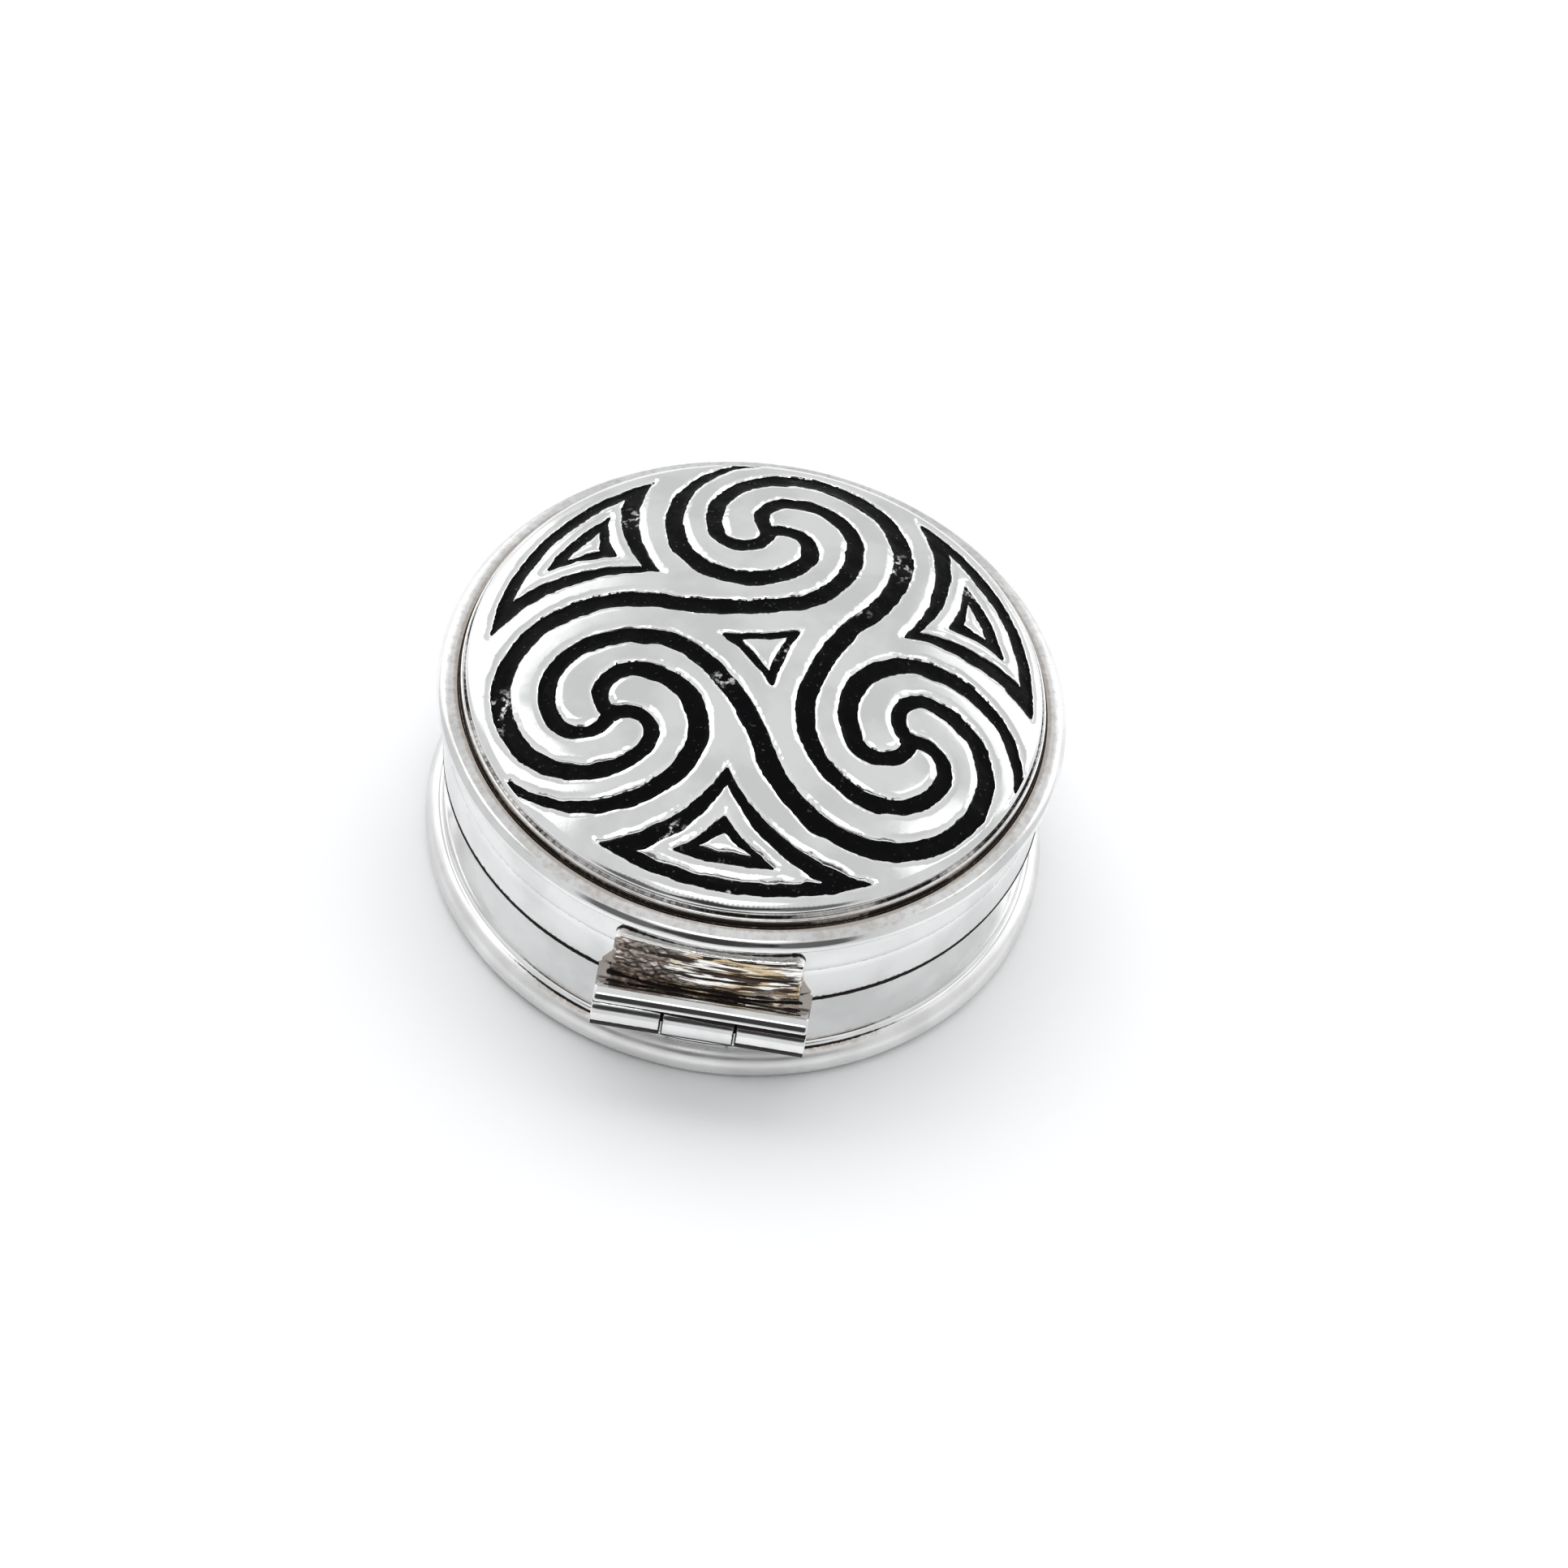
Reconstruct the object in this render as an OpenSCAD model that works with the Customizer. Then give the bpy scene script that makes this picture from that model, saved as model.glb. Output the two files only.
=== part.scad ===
// Round hinged pill box: a shallow silver box with a domed lid that carries a
// three-armed spiral disc, its grooves filled with black enamel.
// Frame: +Z up, origin at the centre of the flat underside, hinge on the +Y side.

/* [Outline] */
// Outside radius of the lid's rim moulding
rim_r = 16; // [15.8:0.1:16.4]
// Outside radius of the rolled foot
foot_r = 15.95; // [15.7:0.05:16.3]
// Height of the rolled foot
foot_h = 1.9; // [1.6:0.1:2.1]
// Outside radius of both walls at the seam
wall_r = 15.35; // [15.3:0.05:15.45]
// Height of the seam between base and lid
seam_z = 6; // [5.9:0.05:6.1]
// Height of the underside of the rim moulding
rim_z = 10.8; // [10.6:0.1:11]
// Height of the top of the dome
dome_top_z = 15.2; // [15.1:0.1:15.4]
// Spherical radius of the dome
dome_r = 40.8; // [40:0.2:42]

/* [Sheet and fits] */
// Thickness of the floor
floor_t = 0.7; // [0.5:0.1:1]
// Radius of the bore of the base
base_bore_r = 14.4; // [14.3:0.05:14.45]
// Inside radius of the bezel that the lid closes over
bezel_bore_r = 13.9; // [13.7:0.1:14]
// Height of the top of the bezel
bezel_top_z = 7.4; // [7:0.1:7.8]
// Radial play between the bezel and the lid's wall
lid_play = 0.2; // [0.18:0.02:0.24]
// Gap that shows as the seam line
seam_gap = 0.06; // [0.04:0.01:0.1]
// Thickness of the liner sheet inside the lid
liner_t = 0.5; // [0.4:0.1:0.6]

/* [Spiral disc] */
// Radius of the disc at its foot
disc_r = 14.83; // [14.75:0.01:14.9]
// Thickness of the disc
disc_t = 1.1; // [1:0.1:1.3]
// Depth of the grooves
groove_depth = 0.5; // [0.4:0.05:0.6]
// How far the enamel lies below the silver
enamel_sink = 0.2; // [0.06:0.02:0.24]
// Width of a groove at its hooked ends
groove_end_w = 0.72; // [0.6:0.02:0.8]
// Width of a groove half-way along
groove_mid_w = 0.98; // [0.85:0.01:1.05]
// Width of the groove that runs out to the edge, where it ends
groove_tail_w = 0.3; // [0.2:0.05:0.6]
// Distance of each spiral's eye from the centre
eye_r = 8.65; // [8.5:0.05:8.7]
// Turn of the whole motif about the centre
motif_turn = 185.4; // [0:0.2:360]
// How far the motif sits off centre, along X
motif_x = -0.25; // [-0.4:0.05:0.4]

/* [Hinge] */
// Distance of the hinge axis from the centre of the box
axis_y = 16.45; // [16.45:0.05:16.6]
// Height of the hinge axis
axis_z = 5.5; // [5.4:0.05:5.55]
// Outside radius of the knuckles
knuckle_r = 1; // [0.9:0.05:1]
// Length of the whole hinge
hinge_len = 10.75; // [10.2:0.05:11]
// Length of the middle knuckle
mid_knuckle_len = 3.62; // [3:0.02:4]
// Gap between two knuckles
knuckle_gap = 0.08; // [0.05:0.01:0.12]
// Radius of the hinge pin
pin_r = 0.35; // [0.3:0.05:0.4]
// Radial play of the pin in the middle knuckle
pin_play = 0.04; // [0.02:0.01:0.08]
// Width of the leaf on the lid's wall
leaf_w = 9.5; // [9:0.1:9.8]
// Height of the top of the leaf
leaf_top_z = 9.7; // [9.4:0.1:10]
// Distance of the leaf's outer face from the centre of the box
leaf_out_y = 15.6; // [15.6:0.05:15.7]
// Radius that the leaf's outer face is bent to
leaf_bend_r = 25; // [22:1:30]

/* [Hidden] */
$fn = 180;
dome_fn = 240;
silver = [0.86, 0.86, 0.84];
worn_silver = [0.55, 0.48, 0.4];
black = [0.03, 0.03, 0.04];
e = 0.01;                                 // overshoot of a cutter past a face
chamfer = 0.06;                           // broken edges along the seam
roll_r = foot_h / 2;                      // radius of the foot's roll
foot_flat_r = foot_r - roll_r;            // where the roll meets the flat underside
wall_foot_r = 15.08;                      // outside radius of the wall above the foot
wall_hollow = 0.1;                        // how far the base wall is hollowed
wall_break_z = 8.4;                       // where the lid's wall starts to lean in
wall_top_r = 15.2;                        // outside radius of the lid's wall at the rim
rim_edge_h = 0.2;                         // upright edge of the rim
rim_top_z = rim_z + 0.7;                  // ledge that the disc sits on
rim_bore_r = 14;                          // inside radius of the rim
rim_arc_r = 1.3;                          // radius of the rim's rounded slope
ledge_r = disc_r + 0.22;                  // outer edge of that ledge
bezel_foot_z = 3;                         // where the bezel starts inside the wall
dome_z = dome_top_z - dome_r;             // centre of the dome's sphere
step_r = disc_r - 0.23;                   // radius of the disc above its step
step_h = 0.45;                            // height of the step
edge_z = dome_z + sqrt(dome_r * dome_r - step_r * step_r);
bevel = 0.15;                             // bevel round the disc's top edge
mid_half = mid_knuckle_len / 2;
hinge_half = hinge_len / 2;
bar_play = 0.07;                          // gap between the bar and what it passes
leaf_foot_z = 6.5;                        // the leaf stands on the bar here
bar_nose_r = 0.5;                         // rounding of the bar's outer edge
bar_nose = [axis_y + 0.075, axis_z + 0.82]; // centre of that rounding
bar_slope = 20;                           // fall of the bar's top towards that edge
bar_top_w = 0.385;                        // length of that slope, up to the bar's crest
bar_back_z = axis_z + 0.7;                // underside of the bar next to the wall
bar_throat = [axis_y - 0.66, axis_z + 0.78]; // corner of the bar behind the knuckles
strip_in_y = 13.9;                        // strips start here and the walls cut them off
bearer_low_z = axis_z - 0.85;
bearer_top_z = axis_z + 0.3;
bearer_out_y = axis_y - 0.3;
bearer_play = 0.08;                       // gap between the bearer and the middle knuckle
web_out_y = axis_y + 0.26;                // the middle knuckle's web, cut off by the bar
web_in_y = axis_y - 1.3;
web_top_z = axis_z + 2;
web_low_z = axis_z + 1.8;
pin_inset = 0.05;                         // how far the pin ends inside the knuckles
leaf_corner_r = 0.5;

// ---------- small helpers ----------

// Point at radius r and angle a
function polar(r, a) = [r * cos(a), r * sin(a)];
// Unit vector to the left of heading h
function left_of(h) = [-sin(h), cos(h)];
function sum_to(v, n) = n < 0 ? 0 : v[n] + sum_to(v, n - 1);

// Arc from p to q with radius r; bend is 1 or -1 for the side it bulges to.
// The last point is left out, so that arcs can follow each other.
function arc_between(p, q, r, bend, n = 8) =
    let (d = q - p, half = norm(d) / 2, lift = sqrt(r * r - half * half),
         c = (p + q) / 2 - bend * lift * [d.y, -d.x] / norm(d),
         a0 = atan2(p.y - c.y, p.x - c.x), a1 = atan2(q.y - c.y, q.x - c.x),
         turn = (a1 - a0 + 540) % 360 - 180)
    [for (i = [0 : n - 1]) c + polar(r, a0 + turn * i / n)];

// A path is a start point, a heading and a list of [radius, turn] arcs.
// Each of its points is [x, y, heading].
function walk(p, h, arcs, i = 0) = i == len(arcs) ? [[p.x, p.y, h]] :
    let (r = arcs[i][0], turn = arcs[i][1], side = sign(turn),
         c = p + side * r * left_of(h), n = ceil(abs(turn) / 12))
    concat([for (k = [0 : n - 1]) let (g = h + turn * k / n, q = c - side * r * left_of(g))
                [q.x, q.y, g]],
           walk(c - side * r * left_of(h + turn), h + turn, arcs, i + 1));

// Ribbon along a path, with the width at each end and half-way
module ribbon(path, w0, w_mid, w1) {
    last = len(path) - 1;
    function half_w(i) = let (t = i / last)
        ((1 - t) * w0 + t * w1) / 2 + (w_mid - (w0 + w1) / 2) / 2 * sin(180 * t);
    function side_pt(i, s) = [path[i][0], path[i][1]] + s * half_w(i) * left_of(path[i][2]);
    polygon(concat([for (i = [0 : last]) side_pt(i, 1)],
                   [for (i = [last : -1 : 0]) side_pt(i, -1)]));
}

// Triangle of arcs: hollow sides run to the apex, and the base follows a circle
// about the centre of the disc. It is given as [apex, left corner, right corner,
// radius of the left side, radius of the right side], corners as [radius, angle].
module arc_triangle(t) {
    apex = polar(t[0][0], t[0][1]);
    left = polar(t[1][0], t[1][1]);
    right = polar(t[2][0], t[2][1]);
    base_r = (t[1][0] + t[2][0]) / 2;
    polygon(concat(arc_between(apex, left, t[3], -1),
                   arc_between(left, right, base_r, 1),
                   arc_between(right, apex, t[4], -1)));
}

// ---------- the motif ----------

// From each eye one groove swings out and over to the next eye, and one runs
// out to the edge of the disc.
link_arcs = [[1.5, -126], [3.1, -87], [4.8, -84], [13.5, -27],
             [7.1, 40], [5.5, 101], [4, 94], [1.35, 165]];
edge_arcs = [[1.5, -147], [3.6, -128], [5.7, -92]];
eye = polar(eye_r, 90);
link_path = walk(eye, 133, link_arcs);
edge_path = walk(eye, 24, edge_arcs);
eye_pool_r = 0.5;                         // where the two grooves meet at an eye
// Outline and island of the large and the small triangles
corner_outer = [[7.35, -102.5], [13.8, -124.4], [13.8, -64], 7.8, 9.1];
corner_inner = [[8.3, -100.5], [13.2, -116], [13.2, -75], 7.5, 8.8];
tip_outer = [[9.9, -99], [12.45, -109], [12.45, -84.8], 6.5, 7.5];
tip_inner = [[10.85, -98], [11.85, -103.5], [11.85, -90.5], 9, 9];
// The triangle in the middle of the disc
centre_corner_r = 2.4;
centre_island_r = 1.35;
centre_angle = 40;
centre_side_r = 14;

module spiral_grooves() {
    for (k = [0 : 2]) rotate(120 * k) {
        ribbon(link_path, groove_end_w, groove_mid_w, groove_end_w);
        ribbon(edge_path, groove_end_w, groove_mid_w, groove_tail_w);
        translate(eye) circle(r = eye_pool_r, $fn = 36);
    }
}

module corner_groove() {
    difference() {
        arc_triangle(corner_outer);
        arc_triangle(corner_inner);
    }
}

module tip_groove() {
    difference() {
        arc_triangle(tip_outer);
        arc_triangle(tip_inner);
    }
}

module centre_groove() {
    corners = [for (k = [0 : 2]) polar(centre_corner_r, centre_angle + 120 * k)];
    island = [for (k = [0 : 2]) polar(centre_island_r, centre_angle + 120 * k)];
    difference() {
        polygon([for (k = [0 : 2])
                    each arc_between(corners[k], corners[(k + 1) % 3], centre_side_r, -1)]);
        polygon(island);
    }
}

// Puts an outline in its place on the disc, and keeps it inside the disc's edge
module on_disc(turn = 0) {
    intersection() {
        circle(r = step_r - bevel);
        translate([motif_x, 0]) rotate(motif_turn + turn) children();
    }
}

module motif() {
    on_disc() {
        spiral_grooves();
        centre_groove();
        for (k = [0 : 2]) rotate(120 * k) {
            corner_groove();
            tip_groove();
        }
    }
}

// Everything above the dome's sphere less a depth, within a plan outline
module down_to(depth) {
    difference() {
        translate([0, 0, rim_top_z]) linear_extrude(dome_top_z) children();
        translate([0, 0, dome_z]) sphere(r = dome_r - depth, $fn = dome_fn);
    }
}

module enamel(turn = 0) {
    color(black) intersection() {
        down_to(groove_depth) on_disc(turn) children();
        translate([0, 0, dome_z]) sphere(r = dome_r - enamel_sink, $fn = dome_fn);
    }
}

// ---------- base ----------

module base_floor() {
    color(silver) cylinder(r = base_bore_r, h = floor_t);
}

module foot_ring() {
    color(silver) rotate_extrude() union() {
        translate([base_bore_r, 0]) square([foot_flat_r - base_bore_r, foot_h]);
        intersection() {
            translate([foot_flat_r, roll_r]) circle(r = roll_r, $fn = 60);
            translate([foot_flat_r - e, 0]) square([roll_r + 1, foot_h]);
        }
    }
}

// Outline of the base's wall from foot to seam, hollowed between them
wall_outline = concat([[wall_foot_r, foot_h]],
    [for (i = [1 : 7]) let (t = i / 8)
        [wall_foot_r + (wall_r - wall_foot_r) * t - wall_hollow * sin(180 * t),
         foot_h + (seam_z - chamfer - foot_h) * t]],
    [[wall_r, seam_z - chamfer], [wall_r - chamfer, seam_z]]);

module base_wall_solid() {
    rotate_extrude() polygon(concat([[0, foot_h]], wall_outline, [[0, seam_z]]));
}

module base_band() {
    color(silver) rotate_extrude()
        polygon(concat([[base_bore_r, foot_h]], wall_outline, [[base_bore_r, seam_z]]));
}

module base_bezel() {
    lead = 0.2;
    color(silver) rotate_extrude()
        polygon([[bezel_bore_r, bezel_foot_z], [base_bore_r, bezel_foot_z],
                 [base_bore_r, bezel_top_z - lead], [base_bore_r - lead, bezel_top_z],
                 [bezel_bore_r, bezel_top_z]]);
}

// ---------- lid ----------

lid_outline = [[wall_r - chamfer, seam_z + seam_gap],
               [wall_r, seam_z + seam_gap + chamfer],
               [wall_r, wall_break_z], [wall_top_r, rim_z]];

module lid_wall_solid() {
    rotate_extrude()
        polygon(concat([[0, seam_z + seam_gap]], lid_outline, [[0, rim_z]]));
}

module lid_band() {
    bore = base_bore_r + lid_play;
    color(silver) rotate_extrude()
        polygon(concat([[bore, seam_z + seam_gap]], lid_outline, [[bore, rim_z]]));
}

module lid_rim() {
    edge_top = rim_z + chamfer + rim_edge_h;
    color(silver) rotate_extrude()
        polygon(concat([[rim_bore_r, rim_z], [rim_r - chamfer, rim_z], [rim_r, rim_z + chamfer]],
                       arc_between([rim_r, edge_top], [ledge_r, rim_top_z], rim_arc_r, 1),
                       [[ledge_r, rim_top_z], [rim_bore_r, rim_top_z]]));
}

// Domed sheet that closes the underside of the disc
module lid_liner() {
    color(silver) intersection() {
        difference() {
            translate([0, 0, dome_z]) sphere(r = dome_r - disc_t, $fn = dome_fn);
            translate([0, 0, dome_z]) sphere(r = dome_r - disc_t - liner_t, $fn = dome_fn);
        }
        translate([0, 0, rim_z - 1]) cylinder(r = rim_bore_r, h = dome_top_z);
    }
}

module disc_blank() {
    step_z = rim_top_z + step_h;
    difference() {
        intersection() {
            rotate_extrude()
                polygon([[0, rim_top_z], [disc_r, rim_top_z], [disc_r, step_z],
                         [step_r, step_z], [step_r, edge_z - bevel],
                         [step_r - 3 * bevel, edge_z + 2 * bevel],
                         [step_r - 3 * bevel, dome_top_z], [0, dome_top_z + e]]);
            translate([0, 0, dome_z]) sphere(r = dome_r, $fn = dome_fn);
        }
        translate([0, 0, dome_z]) sphere(r = dome_r - disc_t, $fn = dome_fn);
    }
}

module spiral_disc() {
    color(silver) difference() {
        disc_blank();
        down_to(groove_depth) motif();
    }
}

// ---------- hinge ----------

// Shape drawn in the Y-Z plane, pushed out along X from x0 to x1
module along_x(x0, x1) {
    translate([x0, 0, 0]) rotate([90, 0, 90]) linear_extrude(x1 - x0) children();
}

module axis_rod(r, x0, x1) {
    translate([x0, axis_y, axis_z]) rotate([0, 90, 0]) cylinder(r = r, h = x1 - x0, $fn = 60);
}

module side_knuckle(x0, x1) {
    color(silver) difference() {
        axis_rod(knuckle_r, x0, x1);
        axis_rod(pin_r, x0 - e, x1 + e);
    }
}

module hinge_knuckle_left() { side_knuckle(-hinge_half, -mid_half - knuckle_gap); }
module hinge_knuckle_right() { side_knuckle(mid_half + knuckle_gap, hinge_half); }

module hinge_pin() {
    color(silver) axis_rod(pin_r, -hinge_half + pin_inset, hinge_half - pin_inset);
}

// Strip soldered to the base, with a trough that the side knuckles lie in
module hinge_bearer() {
    color(silver) difference() {
        along_x(-hinge_half, hinge_half)
            polygon([[strip_in_y, bearer_low_z], [bearer_out_y, bearer_low_z],
                     [bearer_out_y, bearer_top_z], [strip_in_y, bearer_top_z]]);
        base_wall_solid();
        axis_rod(knuckle_r, -hinge_half - e, hinge_half + e);
        axis_rod(knuckle_r + bearer_play, -mid_half - knuckle_gap, mid_half + knuckle_gap);
    }
}

// Plate soldered to the lid's wall, with its upper corners rounded
module hinge_leaf() {
    color(worn_silver) difference() {
        intersection() {
            translate([0, leaf_out_y - leaf_bend_r, 0]) cylinder(r = leaf_bend_r, h = rim_z);
            translate([0, rim_r, 0]) rotate([90, 0, 0]) linear_extrude(rim_r - strip_in_y) union() {
                translate([-leaf_w / 2, leaf_foot_z])
                    square([leaf_w, leaf_top_z - leaf_corner_r - leaf_foot_z]);
                translate([-leaf_w / 2 + leaf_corner_r, leaf_foot_z])
                    square([leaf_w - 2 * leaf_corner_r, leaf_top_z - leaf_foot_z]);
                for (s = [-1, 1])
                    translate([s * (leaf_w / 2 - leaf_corner_r), leaf_top_z - leaf_corner_r])
                        circle(r = leaf_corner_r, $fn = 40);
            }
        }
        lid_wall_solid();
    }
}

// Bar across the lid's side of the hinge, arched over all three knuckles: its top
// rises from a rounded edge to a crest and falls behind it to the leaf's foot
module hinge_bar() {
    back_r = wall_r + bar_play;
    crest = bar_nose + polar(bar_nose_r, 90 - bar_slope) + polar(bar_top_w, 180 - bar_slope);
    color(silver) difference() {
        along_x(-hinge_half, hinge_half)
            polygon(concat([[strip_in_y, bar_back_z], bar_throat, [axis_y, axis_z]],
                           [for (a = [0 : 10 : 90 - bar_slope]) bar_nose + polar(bar_nose_r, a)],
                           [crest, [leaf_out_y, leaf_foot_z], [strip_in_y, leaf_foot_z]]));
        cylinder(r = back_r, h = rim_z);
        axis_rod(knuckle_r + bar_play, -hinge_half - e, hinge_half + e);
    }
}

// Middle knuckle, with the web that joins it to the bar
module hinge_knuckle_mid() {
    web_r = knuckle_r + bar_play;
    color(silver) difference() {
        union() {
            axis_rod(knuckle_r, -mid_half, mid_half);
            intersection() {
                axis_rod(web_r, -mid_half, mid_half);
                along_x(-mid_half, mid_half)
                    polygon([[axis_y, axis_z], [web_out_y, web_top_z], [web_in_y, web_low_z]]);
            }
        }
        axis_rod(pin_r + pin_play, -mid_half - e, mid_half + e);
    }
}

// ---------- enamel ----------

module enamel_spirals() { enamel() spiral_grooves(); }
module enamel_corner_a() { enamel() corner_groove(); }
module enamel_corner_b() { enamel(120) corner_groove(); }
module enamel_corner_c() { enamel(240) corner_groove(); }
module enamel_tip_a() { enamel() tip_groove(); }
module enamel_tip_b() { enamel(120) tip_groove(); }
module enamel_tip_c() { enamel(240) tip_groove(); }
module enamel_centre() { enamel() centre_groove(); }

base_floor();
foot_ring();
base_band();
base_bezel();
hinge_bearer();
hinge_knuckle_left();
hinge_knuckle_right();
hinge_pin();
lid_band();
lid_rim();
lid_liner();
spiral_disc();
enamel_spirals();
enamel_corner_a();
enamel_corner_b();
enamel_corner_c();
enamel_tip_a();
enamel_tip_b();
enamel_tip_c();
enamel_centre();
hinge_leaf();
hinge_bar();
hinge_knuckle_mid();
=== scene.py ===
"""Looks of the round hinged pill box: polished silver, black enamel, soft studio light."""
import math

import bpy
import numpy as np
from mathutils import Matrix, Vector, geometry


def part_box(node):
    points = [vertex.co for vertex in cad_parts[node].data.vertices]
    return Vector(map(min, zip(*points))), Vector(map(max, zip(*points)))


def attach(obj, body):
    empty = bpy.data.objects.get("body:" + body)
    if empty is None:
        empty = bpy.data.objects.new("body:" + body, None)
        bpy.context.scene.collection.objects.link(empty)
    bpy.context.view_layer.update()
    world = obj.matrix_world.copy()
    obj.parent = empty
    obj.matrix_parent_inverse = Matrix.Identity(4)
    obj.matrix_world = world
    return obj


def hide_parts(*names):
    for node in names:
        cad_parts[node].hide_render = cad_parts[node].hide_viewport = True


MM = 0.001
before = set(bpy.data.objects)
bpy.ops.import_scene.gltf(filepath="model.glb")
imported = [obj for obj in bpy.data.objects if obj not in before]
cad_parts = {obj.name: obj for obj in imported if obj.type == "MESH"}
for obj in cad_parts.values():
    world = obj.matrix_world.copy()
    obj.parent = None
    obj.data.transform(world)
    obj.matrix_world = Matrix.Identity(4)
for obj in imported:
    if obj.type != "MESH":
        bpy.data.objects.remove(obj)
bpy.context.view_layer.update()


def size_of(node):
    """Lowest and highest corner of a CAD node, in millimetres."""
    low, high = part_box(node)
    return np.array(low) / MM, np.array(high) / MM


# ---------- sizes in millimetres, read from the CAD nodes ----------

FLOOR_TOP = size_of("base_floor")[1][2]
FOOT_R, FOOT_H = size_of("foot_ring")[1][[0, 2]]
BASE_BORE_R = size_of("base_floor")[1][0]
WALL_R = size_of("base_band")[1][0]
SEAM_Z = size_of("base_band")[1][2]
BEZEL_FOOT_Z = size_of("base_bezel")[0][2]
BEZEL_TOP_Z = size_of("base_bezel")[1][2]
LID_FOOT_Z = size_of("lid_band")[0][2]
RIM_R = size_of("lid_rim")[1][0]
RIM_Z, RIM_TOP_Z = size_of("lid_rim")[0][2], size_of("lid_rim")[1][2]
RIM_BORE_R = size_of("lid_liner")[1][0]
DISC_R = size_of("spiral_disc")[1][0]
DOME_TOP = size_of("spiral_disc")[1][2]
KNUCKLE_LOW, KNUCKLE_HIGH = size_of("hinge_knuckle_left")
KNUCKLE_R = (KNUCKLE_HIGH[2] - KNUCKLE_LOW[2]) / 2
AXIS_Y, AXIS_Z = KNUCKLE_HIGH[1] - KNUCKLE_R, KNUCKLE_HIGH[2] - KNUCKLE_R
MID_HALF = size_of("hinge_knuckle_mid")[1][0]
HINGE_HALF = size_of("hinge_bar")[1][0]
LEAF_HALF, LEAF_OUT_Y, LEAF_TOP_Z = size_of("hinge_leaf")[1]
LEAF_FOOT_Z = size_of("hinge_leaf")[0][2]

# Sizes that no box of a node tells, the same as in the CAD source

BEZEL_BORE_R = BASE_BORE_R - 0.5
LID_BORE_R = BASE_BORE_R + 0.2
WALL_FOOT_R = WALL_R - 0.27
BREAK_Z, LEAN = 8.4, 0.15
STEP_R, STEP_Z = DISC_R - 0.23, RIM_TOP_Z + 0.45
DOME_R = 40.8
DOME_Z = DOME_TOP - DOME_R
DISC_T, LINER_T = 1.1, 0.5
PIN_R, PIN_PLAY = 0.35, 0.04
BAR_NOSE, BAR_NOSE_R = (0.075, 0.82), 0.5
BAR_SLOPE, BAR_TOP_W = 20, 0.385
BAR_PLAY = 0.07
KNUCKLE_GAP = 0.08
LEAF_BEND_R = 25.0

# The disc's top face ends a little inside its step and rolls down from a radius

TOP_R = STEP_R - 0.15
ROLL_FROM_R, ROLL_OFF = 14.2, 1.1


def dome(r, depth=0.0):
    """Height of the dome's sphere, less a depth, at radius r."""
    return DOME_Z + np.sqrt((DOME_R - depth) ** 2 - np.square(r))


# ---------- meshes ----------


def piece(name, verts, faces, body, node, look, crease=32.0):
    """A closed mesh in millimetres that stands for a CAD node and rides on its body."""
    mesh = bpy.data.meshes.new(name)
    mesh.from_pydata([tuple(v) for v in np.asarray(verts) * MM], [], faces)
    mesh.validate()
    mesh.shade_smooth()
    mesh.set_sharp_from_angle(angle=math.radians(crease))
    obj = bpy.data.objects.new(name, mesh)
    bpy.context.scene.collection.objects.link(obj)
    mesh.materials.append(look)
    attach(obj, body)
    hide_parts(node)
    return obj


def attribute(obj, name, values):
    """Stores one number per vertex for a material to read."""
    layer = obj.data.attributes.new(name, "FLOAT", "POINT")
    layer.data.foreach_set("value", np.asarray(values, np.float32))


def places(obj):
    """The points of a piece, in millimetres."""
    flat = np.empty(len(obj.data.vertices) * 3)
    obj.data.vertices.foreach_get("co", flat)
    return flat.reshape(-1, 3) / MM


def tarnish_and_shade(obj, name, spots):
    """Marks rings round the box's axis with a soft edge: (r, z, reach, amount, amount by the hinge).

    The amount by the hinge holds on both sides of it. The rings paint black oxide together with painted shade
    in creases and gaps, and brown stains.
    """
    points = places(obj)
    r, z = np.hypot(points[:, 0], points[:, 1]), points[:, 2]
    turn = points[:, 1] / r
    by_hinge = np.clip((turn - 0.72) / 0.16, 0, 1) * np.clip((0.96 - turn) / 0.02, 0, 1)
    total = np.zeros(len(points))
    for spot_r, spot_z, reach, amount, *other in spots:
        here = amount + (other[0] - amount) * by_hinge if other else amount
        near = np.hypot(r - spot_r, z - spot_z) / reach
        total = np.maximum(total, here * np.clip(1.5 - near, 0, 1))
    attribute(obj, name, total)


def waves(seed, length, count=14):
    """A smooth, repeatable, wavy function of the plane, from about -1 to 1."""
    rng = np.random.default_rng(seed)
    turn = rng.uniform(0, 2 * np.pi, count)
    k = 2 * np.pi / (length * rng.uniform(0.7, 1.6, count))
    shift = rng.uniform(0, 2 * np.pi, count)

    def value(x, y):
        total = 0
        for a, b, c in zip(turn, k, shift):
            total = total + np.sin(b * (np.cos(a) * x + np.sin(a) * y) + c)
        return total / math.sqrt(count)

    return value


def rounded(points, radius, steps=4):
    """A closed outline with its corners rounded; a corner is (r, z) or (r, z, its own radius)."""
    out = []
    n = len(points)
    for i, p in enumerate(points):
        here = np.array(p[:2], float)
        before, after = np.array(points[i - 1][:2], float), np.array(points[(i + 1) % n][:2], float)
        want = p[2] if len(p) > 2 else radius
        a, b = before - here, after - here
        la, lb = np.linalg.norm(a), np.linalg.norm(b)
        cut = min(want, 0.45 * la, 0.45 * lb)
        if cut < 1e-6:
            out.append(here)
            continue
        pa, pb = here + a / la * cut, here + b / lb * cut
        for s in np.linspace(0, 1, steps + 1):
            out.append((1 - s) ** 2 * pa + 2 * s * (1 - s) * here + s * s * pb)
    return out


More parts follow.
